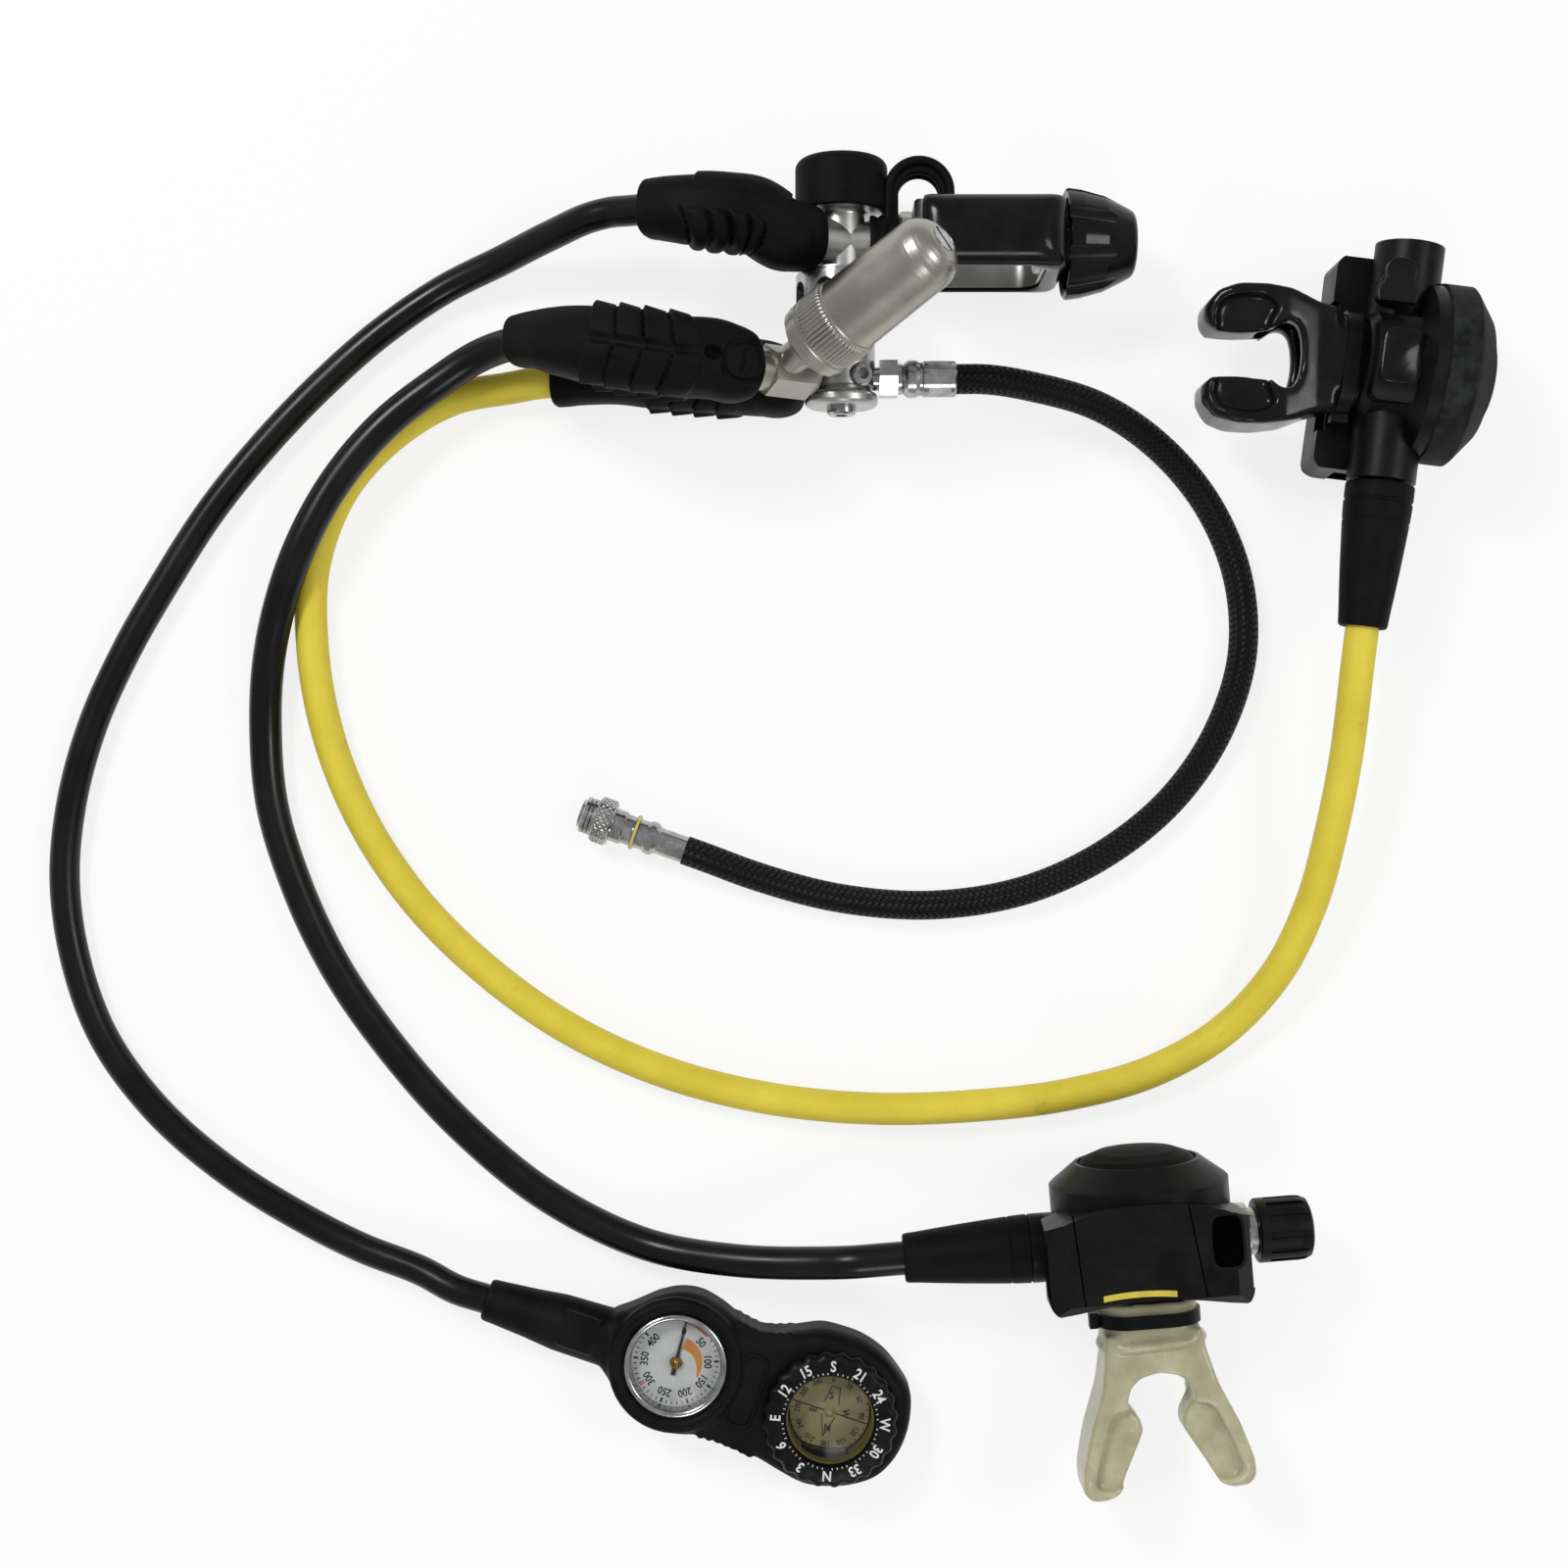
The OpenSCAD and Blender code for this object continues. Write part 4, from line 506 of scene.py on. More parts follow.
octopus_guard = [port_point(OCTOPUS_PORT, 0, OCTOPUS_SEAT),
                 port_point(OCTOPUS_PORT, 0, OCTOPUS_SEAT + 5), (-8, 158, 17.6), (-20, 159, 15.6),
                 (-40, 160, 15.4), (-60, 160, 14.5), (-76, 159, 12.6), (-88, 158, 10.6),
                 (-89, 158, 10.4)]
gauge_route = [past(gauge_guard, -9), past(gauge_guard, 0), past(gauge_guard, 6),
               (-72, 217, 35), (-90, 212, 25), (-110, 205, 14), (-134, 195, 7),
               (-158, 179, 5.8), (-182, 158, 5.8), (-205, 134, 5.8), (-226, 108, 5.8),
               (-244, 80, 5.8), (-260, 52, 5.8), (-273, 23, 5.8), (-281, -6, 5.8),
               (-284, -36, 5.8), (-280, -68, 5.8), (-269, -99, 5.8), (-248, -128, 5.8),
               (-222, -151, 5.8), (-194, -169, 5.8), (-166, -183, 7), (-142, -191.5, 10),
               console_point(90), console_point(NECK_END)]
primary_route = [past(primary_guard, 0), past(primary_guard, 5), (-117, 166, 24),
                 (-136, 155, 19.6), (-154, 141, 19.6), (-174, 118, 19.4), (-188, 93, 19),
                 (-197, 70, 15), (-203, 46, 9), (-204.5, 20, 6.4), (-202, -8, 6.4),
                 (-193, -38, 6.4), (-177, -72, 6.4), (-154, -105, 6.4), (-125, -137, 6.4),
                 (-91, -164, 6.4), (-54, -181, 9.5), (-20, -185, 20), (14, -184, 30),
                 primary_point(SLEEVE_END + 12), primary_point(SLEEVE_END),
                 primary_point(SLEEVE_END - 8)]
octopus_route = [past(octopus_guard, 0), past(octopus_guard, 5), (-108, 156, 7.6),
                 (-130, 152, 6.4), (-154, 138, 6.4), (-174, 116, 6.4), (-185, 88, 6.4),
                 (-186, 54, 6.4), (-180, 20, 6.4), (-167, -13, 6.4), (-146, -45, 6.4),
                 (-118, -73, 6.4), (-84, -97, 6.4), (-46, -114, 6.4), (-6, -124, 6.4),
                 (34, -128, 6.4), (74, -127, 6.4), (112, -122.5, 6.4), (146, -113, 6.4),
                 (172, -98, 7.5), (193, -74, 13), (205, -46, 20), (211, -18, 27), (215, 8, 32),
                 octopus_point(SLEEVE_END + 12), octopus_point(SLEEVE_END)]
inflator_route = [STAGE + [FITTING_END, 0, 0], STAGE + [FITTING_END + 10, 0, 0], (98, 153, 25),
                  (122, 147, 19), (146, 133, 12), (167, 110, 7), (179, 82, 5.8), (181, 52, 5.8),
                  (172, 22, 5.8), (154, -5, 5.8), (129, -26, 5.8), (98, -41, 5.8),
                  (62, -47.6, 5.8), (24, -45.4, 5.8), (-12, -36, 7), coupling_point(-8),
                  coupling_point(0)]
print("route points:", len(gauge_route), len(primary_route), len(octopus_route),
      len(inflator_route))

# %% Hoses
AROUND = 40                        # points round a hose
HOSE_STEP = 1.6                    # mm from ring to ring


def hose(name, route, diameter, material, node):
    """A jacket swept along the smooth curve through the route, and never below the table."""
    path = spline(route, HOSE_STEP) - ORIGIN
    path[:, 2] = np.maximum(path[:, 2], diameter / 2)
    obj = closed_tube(name, rings(path, diameter / 2, AROUND))
    steps = np.linalg.norm(np.diff(path, axis=0), axis=1)
    u = np.concatenate([[0], np.cumsum(steps)]) * MM
    layer = obj.data.uv_layers.new(name="hose")
    corner = np.zeros(len(obj.data.loops), np.int32)
    obj.data.loops.foreach_get("vertex_index", corner)
    quads = (len(path) - 1) * AROUND * 4
    v = (corner % AROUND) / AROUND
    # A quad that closes the ring ends at v = 1, where its corners would read 0.
    last = np.tile(np.array([False, True, True, False]), quads // 4)
    v[:quads][last & (v[:quads] == 0)] = 1.0
    uv = np.stack([u[corner // AROUND], v], -1)
    layer.data.foreach_set("uv", uv.astype(np.float32).ravel())
    finish_piece(obj, material, "regulator", node=node)


hose("gauge_jacket", gauge_route, 11.6, JACKET, "gauge_hose")
hose("primary_jacket", primary_route, 12.7, JACKET, "primary_hose")
hose("octopus_jacket", octopus_route, 12.7, YELLOW, "octopus_hose")
hose("inflator_jacket", inflator_route, 11.5, BRAID, "inflator_hose")

# %% [markdown]
# ## Rigid pieces
# Each CAD node gets its finish. Its shape and place stay as they are.

# %% Dress the rigid pieces
for material, names in FINISHES.items():
    for name in names:
        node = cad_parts[name]
        node.data.materials.clear()
        node.data.materials.append(material)
print("dressed", sum(len(names) for names in FINISHES.values()), "rigid pieces")

# %% [markdown]
# ## Rubber hose protectors
# Three moulded pods cover the hoses where they leave the first stage. Each is swept along its
# route with a squarish section, and a relief in millimetres is added to the radius: overlapping
# scales on the breathing hoses' pods, finger ribs and a bare raised panel on the gauge hose's.
# The end by the hose is hollow, with a thick lip.

# %% Protectors
GUARD_AROUND = 132                 # points round a pod
GUARD_STEP = 0.5                   # mm from ring to ring, and along the profile
SQUARENESS = 2.6                   # the section's power: 2 is round
POD_RADIUS = 14.5                  # turns an angle on the pod into mm


def scale_relief(s, a):
    """Rows of overlapping scales, at s mm along and a degrees round. Along the pod each scale
    rises like a saw's tooth and drops at its far edge, which slants across the row."""
    off = np.abs((a + 90) % 360 - 180)
    off = np.minimum(off, 180 - off)
    t = (s - 20 - 5 * (off / 75) ** 1.5) / 9.2
    step = t - np.floor(t)
    tooth = (0.35 + 0.65 * step) * ramp(step, 0.0, 0.1) * (1 - ramp(step, 0.9, 1.0))
    return 2.4 * tooth * bump(t, 0.0, 4.0, 0.05) * bump(off, 8, 70, 5)


def end_relief(s, a, at):
    """A round hole, and beyond it a round groove with a slot across its middle."""
    v = (a - 90) * math.radians(1) * POD_RADIUS
    hole = np.hypot(s - at - 10, v)
    disc = np.hypot(s - at, v / 1.4)
    return (-4.5 * (1 - ramp(hole, 2.2, 3.0)) - 1.5 * bump(disc, 5.2, 6.2, 0.5)
            - 1.4 * bump(s, at - 0.7, at + 0.7, 0.4) * (1 - ramp(np.abs(v), 4.6, 5.4)))


def rib_relief(s, a):
    """Four rounded finger ribs along one side, and a bare raised panel on the other."""
    t = (s - 14 - 2.5 * ((a - 150) / 50) ** 2) / 7.2
    rib = 1 - np.abs(2 * (t - np.floor(t)) - 1) ** 3
    ribs = (2.9 * rib - 1.5) * bump(t, 0.0, 4.0, 0.03) * bump(a, 104, 205, 6)
    return ribs + 1.2 * bump(s, 14, 42, 0.8) * bump(a, 26, 56, 3)


def guard(name, route, start, profile, relief, node, end=200.0):
    """A pod from `start` mm before its route. Its profile is a list of (distance, radius), and
    its section is a superellipse: 1 / (|cos a|^p + |sin a|^p)^(1/p)."""
    ahead = np.array(route[1], float) - route[0]
    first = np.array(route[0], float) - start * ahead / np.linalg.norm(ahead)
    path = spline([first] + [np.array(p, float) for p in route], GUARD_STEP) - ORIGIN
    steps = np.linalg.norm(np.diff(path, axis=0), axis=1)
    s = np.concatenate([[0], np.cumsum(steps)]) - start
    path, s = path[s <= end], s[s <= end, None]
    a = np.linspace(0, 360, GUARD_AROUND, endpoint=False)[None, :]
    outline = spline(profile, GUARD_STEP)
    radius = np.interp(s, outline[:, 0], outline[:, 1])
    turn = np.radians(a)
    section = (np.abs(np.cos(turn)) ** SQUARENESS + np.abs(np.sin(turn)) ** SQUARENESS)
    grid = rings(path, radius * section ** (-1 / SQUARENESS) + relief(s, a), GUARD_AROUND)
    grid[..., 2] = np.maximum(grid[..., 2], 0.05)
    back = path[-2] - path[-1]
    back /= np.linalg.norm(back)
    out = grid[-1] - path[-1]
    lip = [path[-1] + k * out + depth * back for k, depth in
           ((0.96, -0.5), (0.88, -0.7), (0.8, -0.4), (0.76, 0.4), (0.7, 4.0))]
    obj = closed_tube(name, np.concatenate([grid, np.array(lip)]))
    finish_piece(obj, RUBBER, "regulator", 60, node)
    print(name, "is", round(float(s[-1, 0])), "mm long,", len(obj.data.polygons), "faces")


guard("gauge_pod", gauge_guard, 7.0,
      [(-7, 9.6), (-6, 11.0), (-3, 12.2), (2, 12.8), (10, 13.2), (24, 13.4), (38, 13.2),
       (46, 12.4), (54, 11.6), (61, 10.8)], rib_relief, "gauge_protector", 61.0)
guard("primary_pod", primary_guard, 1.5,
      [(-1.5, 7.5), (0, 10), (2.5, 12.4), (6, 13.8), (12, 14.4), (30, 14.6), (50, 14.6),
       (66, 13.8), (80, 12.2), (90, 10.6), (96, 10.0)],
      lambda s, a: scale_relief(s, a) + end_relief(s, a, 7.0), "primary_protector")
guard("octopus_pod", octopus_guard, 0.5,
      [(-0.5, 7), (0, 8), (2, 10.8), (6, 13), (14, 14.3), (30, 14.4), (50, 13.8), (62, 12.8),
       (74, 11.0), (90, 9.8)],
      scale_relief, "octopus_protector")

# %% [markdown]
# ## Hose sleeves at the second stages
# A tapered rubber sleeve joins each breathing hose to its second stage: a turned form with a
# bead at the stage's end, two fine grooves and a rolled lip at the hose's end.

# %% Sleeves
def turned_form(name, place, profile, around=96):
    """A form of revolution: rings of the profile's radii round the line that place(x) gives."""
    outline = np.array(profile, float)
    path = np.array([place(x) for x in outline[:, 0]]) - ORIGIN
    ahead = path[-1] - path[0]
    ahead /= np.linalg.norm(ahead)
    side = np.cross(ahead, [0, 0, 1])
    up = np.cross(side, ahead)
    turn = np.linspace(0, 2 * np.pi, around, endpoint=False)
    out = np.cos(turn)[:, None] * side + np.sin(turn)[:, None] * up
    return closed_tube(name, path[:, None] + outline[:, 1, None, None] * out)


SLEEVE = [(44, 8.6), (44, 12.2), (44.3, 12.7), (45, 13), (50, 13), (50.4, 12.6), (51.2, 12.6),
          (51.6, 13), (58, 12.7), (58.3, 12.4), (58.9, 12.4), (59.2, 12.6), (66, 12.1),
          (76, 11.3), (86, 10.4), (94, 9.6), (97, 9.4), (98.4, 9.2), (99, 8.6), (99, 7.2),
          (97, 6.7)]
PRIMARY_NEARER = 7.5               # mm by which the primary's sleeve lies nearer to its stage
for name, place, shift, node in (
        ("primary_boot", primary_point, PRIMARY_NEARER, "primary_sleeve"),
        ("octopus_boot", octopus_point, 0.0, "octopus_sleeve")):
    sleeve = turned_form(name, place, [(x - shift, r) for x, r in SLEEVE])
    finish_piece(sleeve, RUBBER, "regulator", 35, node)
    print(name, "has", len(sleeve.data.polygons), "faces")

# %% [markdown]
# ## Soft pieces rounded from the CAD solids
# The console's boot, the mouthpieces, the yoke's sleeve, the dust cap and the venturi lever keep
# the CAD solids' places. The boot is built from its outline and the rest start as copies. Each
# gets its finer forms as extra solids or cuts, is remeshed into even small faces and then
# smoothed, which rounds every edge as in moulded rubber.

# %% Rounding
def clockwise(p):
    """True for a flat closed outline that runs clockwise: its shoelace area is below zero."""
    return np.sum(p[:, 0] * np.roll(p[:, 1], -1) - p[:, 1] * np.roll(p[:, 0], -1)) < 0


def prism(name, outline, low, high):
    """An upright prism from a closed outline in mm, between two heights."""
    p = np.asarray(outline, float)
    if clockwise(p):
        p = p[::-1]
    n = len(p)
    levels = np.array([low, high])
    grid = np.concatenate([np.broadcast_to(p, (2, n, 2)),
                           np.broadcast_to(levels[:, None, None], (2, n, 1))], -1)
    faces = grid_faces(2, n).tolist()
    faces += [list(range(n))[::-1], list(range(n, 2 * n))]
    return mesh_object(name, grid, faces)


def placed(obj, move):
    """The object with its points moved by a function from its own mm to world mm."""
    points = np.zeros(len(obj.data.vertices) * 3)
    obj.data.vertices.foreach_get("co", points)
    obj.data.vertices.foreach_set("co", (move(points.reshape(-1, 3) / MM) * MM).ravel())
    obj.data.update()
    return obj


def merged(obj, distance):
    """The object with points closer than `distance` metres made one."""
    work = bmesh.new()
    work.from_mesh(obj.data)
    bmesh.ops.remove_doubles(work, verts=work.verts, dist=distance)
    work.to_mesh(obj.data)
    work.free()
    return obj


def node_copy(name):
    """A merged copy of a CAD node's mesh, as a start for a softer form."""
    obj = bpy.data.objects.new(name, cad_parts[name].data.copy())
    bpy.context.scene.collection.objects.link(obj)
    return merged(obj, 1e-6)


def applied(obj):
    """The object with its modifiers worked into its mesh."""
    shape = obj.evaluated_get(bpy.context.evaluated_depsgraph_get())
    obj.data, old = bpy.data.meshes.new_from_object(shape), obj.data
    obj.modifiers.clear()
    bpy.data.meshes.remove(old)
    return obj


def rounded(name, start, cuts, extra, voxel, passes, material, body, node):
    """The start less the cuts, joined with extra pieces, remeshed into faces of `voxel` mm and
    smoothed in so many passes, each of which moves a point halfway to its neighbours."""
    for cut in cuts:
        step = start.modifiers.new("cut", "BOOLEAN")
        step.operation, step.object, step.solver = "DIFFERENCE", cut, "EXACT"
    applied(start)
    work = bmesh.new()
    for piece in [start] + extra:
        work.from_mesh(piece.data)
    work.to_mesh(start.data)
    work.free()
    remesh = start.modifiers.new("remesh", "REMESH")
    remesh.mode, remesh.voxel_size = "VOXEL", voxel * MM
    smooth = start.modifiers.new("smooth", "SMOOTH")
    smooth.factor, smooth.iterations = 0.5, passes
    applied(start)
    for piece in extra + cuts:
        bpy.data.objects.remove(piece)
    start.name = name
    finish_piece(start, material, body, 180, node)
    print(name, "has", len(start.data.polygons), "faces")


def stage_place(at, turn, flip, lean=0.0, root=0.0):
    """A function from a second stage's own points to world mm. A mouthpiece leans by `lean`
    degrees about its root, and a stage that lies upside down is flipped."""
    def move(points):
        leaning = turned(points - [0, root, 0], lean) + [0, root, 0]
        return turned(leaning * ([-1, 1, -1] if flip else 1), turn) + at - ORIGIN
    return move


def pockets(outline, low, high, move):
    """Four cuts, above and below on both arms, that leave the bite tabs lower than the rim."""
    cuts = []
    for side in (-1, 1):
        ring = spline(np.array(outline + outline[:1], float) * [side, 1], 1.5)[:-1]
        for sign in (-1, 1):
            cut = prism("pocket", ring, *sorted((sign * low, sign * high)))
            cuts.append(placed(cut, move))
    return cuts


def pill(half_x, half_y, at=(0.0, 0.0), corner=0.5, count=64):
    """A rounded rectangle: a superellipse whose cosine and sine are raised to `corner`."""
    a = np.linspace(0, 2 * np.pi, count, endpoint=False)
    return np.stack([at[0] + half_x * np.sign(np.cos(a)) * np.abs(np.cos(a)) ** corner,
                     at[1] + half_y * np.sign(np.sin(a)) * np.abs(np.sin(a)) ** corner], -1)


def frame_ring(name, outline, thick, height=0.0):
    """A raised band along a level closed outline, as a tube of round section."""
    line = np.column_stack([outline, np.full(len(outline), height)])
    ahead = np.roll(line, -1, axis=0) - np.roll(line, 1, axis=0)
    ahead /= np.linalg.norm(ahead, axis=1)[:, None]
    side = np.cross(ahead, [0, 0, 1])
    b = np.linspace(0, 2 * np.pi, 10, endpoint=False)[:, None]
    grid = line[:, None] + thick * (np.cos(b) * side[:, None] + np.sin(b) * [0, 0, -1])
    return mesh_object(name, grid, grid_faces(len(line), 10, closed_rows=True).tolist())


# %% Mouthpieces
primary_wings = stage_place(PRIMARY_AT, PRIMARY_TURN, True, -2.0, -33.0)
octopus_wings = stage_place(OCTOPUS_AT, OCTOPUS_TURN, False, 5.0, -24.0)
BEAD_Y = -38.0                     # the bead round the root of the primary's mouthpiece
bead = frame_ring("bead", pill(19.6, 12.6, corner=0.7, count=96), 1.8)
placed(bead, lambda points: primary_wings(points[:, [0, 2, 1]] * [1, -1, 1] + [0, BEAD_Y, 0]))
rounded("primary_bite", node_copy("primary_mouthpiece"),
        pockets([(0, -62), (12, -61), (17.5, -62), (23, -72), (26.5, -82), (27.5, -89),
                 (24, -91.5), (18, -90), (0, -88)], 8.0, 22.0, primary_wings),
        [bead], 0.75, 30, SILICONE, "primary_stage", "primary_mouthpiece")
rounded("octopus_bite", node_copy("octopus_mouthpiece"),
        pockets([(2, -51), (12, -50.5), (18, -48), (21.5, -53), (21.5, -62), (19, -69),
                 (15, -70.5), (11, -70), (2, -68)], 9.0, 22.0, octopus_wings),
        [], 0.75, 38, MOUTH_BLACK, "octopus_stage", "octopus_mouthpiece")

# %% Console boot and dust cap
def console_place(points):
    """Points in the console's own frame, with +X from the gauge to the compass, to world mm."""
    return turned(points, CONSOLE_TURN) + GAUGE_AT - ORIGIN


def circle(radius, count=96, at=(0.0, 0.0)):
    """Points round a circle in the plane."""
    turn = np.linspace(0, 2 * np.pi, count, endpoint=False)
    return np.stack([at[0] + radius * np.cos(turn), at[1] + radius * np.sin(turn)], -1)


def hoop(name, radius, thick, height):
    """A level ring with a round section."""
    turn = np.linspace(0, 2 * np.pi, 96, endpoint=False)[:, None]
    around = np.linspace(0, 2 * np.pi, 16, endpoint=False)[None, :]
    reach = radius + thick * np.cos(around)
    grid = np.stack([reach * np.cos(turn), reach * np.sin(turn),
                     np.broadcast_to(height - thick * np.sin(around), (96, 16))], -1)
    return mesh_object(name, grid, grid_faces(96, 16, closed_rows=True).tolist())


def domed_slab(name, outline, profile):
    """A slab whose rim follows a profile of (height, inset): at each height the outline moves
    in along its own level normals by the inset."""
    p = spline(np.array(outline + outline[:1], float), 1.2)[:-1]
    ahead = np.roll(p, -1, axis=0) - np.roll(p, 1, axis=0)
    ahead /= np.linalg.norm(ahead, axis=1)[:, None]
    normal = np.stack([ahead[:, 1], -ahead[:, 0]], -1)
    if clockwise(p):
        p, normal = p[::-1], -normal[::-1]
    grid = np.array([np.column_stack([p - inset * normal, np.full(len(p), z)])
                     for z, inset in profile])
    return closed_tube(name, grid)


BOOT_TOP = 24.0
LOBE_GAP = 63.0                    # from the gauge's middle to the compass's
WELL_FLOOR, WELL_TOP = 3.4, 40.0   # heights between which the dials' wells are cut
GAUGE_WELL, COMPASS_WELL = 19.6, 23.4          # their radii
BOOT_OUTLINE = [(-15, 22), (-8, 26), (0, 27.8), (10, 26.2), (19, 23), (28, 21.8), (36, 24),
                (42, 27), (50, 30.6), (58, 31.4), (66, 31.2), (76, 28.4), (84, 23.4), (90, 18),
                (93, 10), (94, 0), (92.5, -9), (88, -17.5), (81, -23), (72, -27), (62, -29),
                (52, -27.6), (43, -25.6), (34, -24.2), (26, -23.6), (18, -24), (10, -26.4),
                (0, -27.8), (-8, -26), (-15, -22), (-24, -14), (-30, -9), (-30, 9), (-24, 14)]
slab = placed(domed_slab("boot", BOOT_OUTLINE,
                         [(0.3, 5), (1.2, 2), (3, 0.5), (6, 0), (18, 0), (21, 0.9), (23, 2.8),
                          (BOOT_TOP, 5.5)]), console_place)
neck = turned_form("neck", console_point,
                   [(21.5, 11.4), (24, 11.4), (30, 11.4), (48, 11.0), (60, 9.6), (74, 8.4),
                    (77.4, 8.2), (78.2, 7.6)], 64)
extras = [neck] + [placed(piece, console_place) for piece in [
    hoop("collar", 23.4, 3.0, BOOT_TOP - 0.6),
    prism("pad", [(-46.5, -7), (-32.5, -7), (-32.5, 7), (-46.5, 7)], 20.0, 24.4)]]
# Finger ribs stand along both sides of the waist, each 0.4 mm inside the boot's outline.
for x in np.arange(18.0, 39.0, 3.4):
    upper = np.interp(x, [10, 19, 28, 36, 42], [26.2, 23.0, 21.8, 24.0, 27.0]) - 0.4
    lower = np.interp(x, [10, 18, 26, 34, 43], [-26.4, -24.0, -23.6, -24.2, -25.6]) + 0.4
    for y in (upper, lower):
        extras.append(placed(prism("rib", circle(1.3, 16, (x, y)), 4.0, 22.0), console_place))
wells = [placed(prism("well", circle(radius, 96, at), WELL_FLOOR, WELL_TOP), console_place)
         for radius, at in ((GAUGE_WELL, (0.0, 0.0)), (COMPASS_WELL, (LOBE_GAP, 0.0)))]
rounded("console_shell", slab, wells, extras, 0.8, 9, BOOT, "console",
        "console_boot")
# A thin raised frame stands round the bare oblong between the dials.
label = placed(frame_ring("label_frame", pill(5.0, 14.0, (29.5, -0.5), 0.45, 96), 0.7,
                          BOOT_TOP + 0.1), console_place)
finish_piece(label, BOOT, "console")

# %% Yoke sleeve and dust cap
rounded("yoke_guard", node_copy("yoke_sleeve"), [], [], 0.6, 140, GLOSS, "regulator",
        "yoke_sleeve")
# The cap's outer strap runs out, round a half circle and back.
STRAP_BEND, STRAP_REACH, STRAP_HEIGHT = (-23.8, 245.0), 11.8, 35.5
STRAP_START, STRAP_FINISH = (-12.0, 241.0), (-35.6, 233.0)
arch = np.radians(np.linspace(0, 180, 25))
strap_line = np.concatenate([[STRAP_START], np.stack([STRAP_BEND[0] + STRAP_REACH * np.cos(arch),
                                                      STRAP_BEND[1] + STRAP_REACH * np.sin(arch)],
                                                     -1), [STRAP_FINISH]])
strap_line = np.column_stack([strap_line, np.full(len(strap_line), STRAP_HEIGHT)])
outer_loop = closed_tube("outer strap", rings(strap_line, 1.8, 20))
rounded("dust_cap_rubber", node_copy("dust_cap"), [], [outer_loop], 0.45, 3, RUBBER, "regulator",
        "dust_cap")

# %% [markdown]
# ## Gauge, compass and bezel
# The gauge's can is a chromed ring with a rolled rim, its crystal a low dome. The compass bezel
# has rounded grips with narrow grooves between them, which run in over its sloping edge. All
# are turned about an upright axis, and the grooves are taken off the radius.

# %% Turned round an upright axis
def lathe(name, profile, at=(0.0, 0.0), closed=False, shape=None, around=192):
    """Rings of the profile's (radius, height) points, which run up the outer side and in over
    the top. shape(radius, angle), if given, is added to the radius."""
    p = np.array(profile, float)
    turn = np.linspace(0, 2 * np.pi, around, endpoint=False)[None, :]
    radius = np.broadcast_to(p[:, :1], (len(p), around)).copy()
    if shape is not None:
        radius += shape(radius, turn)
    grid = np.stack([at[0] + radius * np.cos(turn), at[1] + radius * np.sin(turn),
                     np.broadcast_to(p[:, 1:], radius.shape)], -1)
    obj = mesh_object(name, console_place(grid.reshape(-1, 3)),
                      grid_faces(len(p), around, closed_rows=closed).tolist())
    return merged(obj, 1e-7)


def grip_grooves(radius, turn):
    """24 finger hollows, cos(12 a)^2 deep, that fade out over the sloping edge."""
    return -1.1 * np.cos(12 * turn) ** 2 * ramp(radius, 22.8, 25.6)


compass = (LOBE_GAP, 0.0)
can = lathe("gauge_can", [(20.3, 6), (20.3, 24.4), (20.0, 25.2), (19.4, 25.7), (18.6, 25.8),
                          (17.9, 25.5), (17.5, 24.9), (17.3, 24.2), (17.2, 18.35), (17.2, 6)],
            closed=True)
finish_piece(can, CHROME, "console", 50, "gauge_case")
crystal = lathe("gauge_crystal", [(0, 25.7), (5.5, 25.4), (11, 24.6), (15.5, 23.4), (17.15, 22.7),
                                  (17.15, 24.7), (15.5, 25.4), (11, 26.6), (5.5, 27.4), (0, 27.7)])
finish_piece(crystal, LENS_CLEAR, "console", 30, "gauge_lens")
window = lathe("compass_crystal", [(0, 28.6), (5, 28.4), (10, 27.7), (14.5, 26.4), (16.9, 25.2),
                                   (16.9, 27.8), (15.4, 28.5), (10.5, 29.8), (5, 30.5),
                                   (0, 30.7)], at=compass)
finish_piece(window, LENS_CLEAR, "console", 30, "compass_lens")
grips = lathe("bezel_grips", [(25.9, 24.45), (26.3, 24.9), (26.3, 26.8), (25.9, 27.9),
                              (25.0, 28.8), (23.4, 29.4), (18.8, 29.75), (17.7, 29.7),
                              (17.45, 29.4), (17.45, 28.45), (21.0, 28.4), (21.0, 24.45)],
              at=compass, closed=True, shape=grip_grooves, around=480)
finish_piece(grips, PLASTIC, "compass_bezel", 45, "compass_bezel")
bowl = lathe("compass_bowl", [(16.9, 12.2), (16.9, 27.4), (16.4, 27.4), (16.2, 14.0),
                              (15.2, 12.8), (0, 12.8), (0, 12.2)], at=compass)
finish_piece(bowl, BOWL, "console", 50)
hub = lathe("needle_hub", [(0, 19.3), (2.4, 19.3), (2.4, 19.9), (2.0, 20.3), (1.3, 20.3),
                           (1.1, 20.0), (0.9, 20.2), (0, 20.5)], around=48)
finish_piece(hub, BRASS, "gauge_needle", 40)
print("bezel has", len(grips.data.polygons), "faces")

# %% [markdown]
# ## Prints
# Ticks are small flat quads laid out round a circle. Numerals are set in the built-in font and
# turned to mesh. Everything printed lies a twentieth of a millimetre over its face.

# %% Ticks and numerals
def ticks(angles, inner, outer, width):
    """One radial quad for each angle in degrees, as points and faces."""
    a = np.radians(np.asarray(angles, float))
    out = np.stack([np.cos(a), np.sin(a)], -1)
    side = np.stack([-np.sin(a), np.cos(a)], -1) * width / 2
    corners = np.stack([inner * out - side, outer * out - side, outer * out + side,
                        inner * out + side], 1)
    return quads(corners)


def quads(corners):
    """Points and faces for corners that come in fours."""
    flat = np.asarray(corners, float).reshape(-1, 2)
    return flat, np.arange(len(flat)).reshape(-1, 4).tolist()


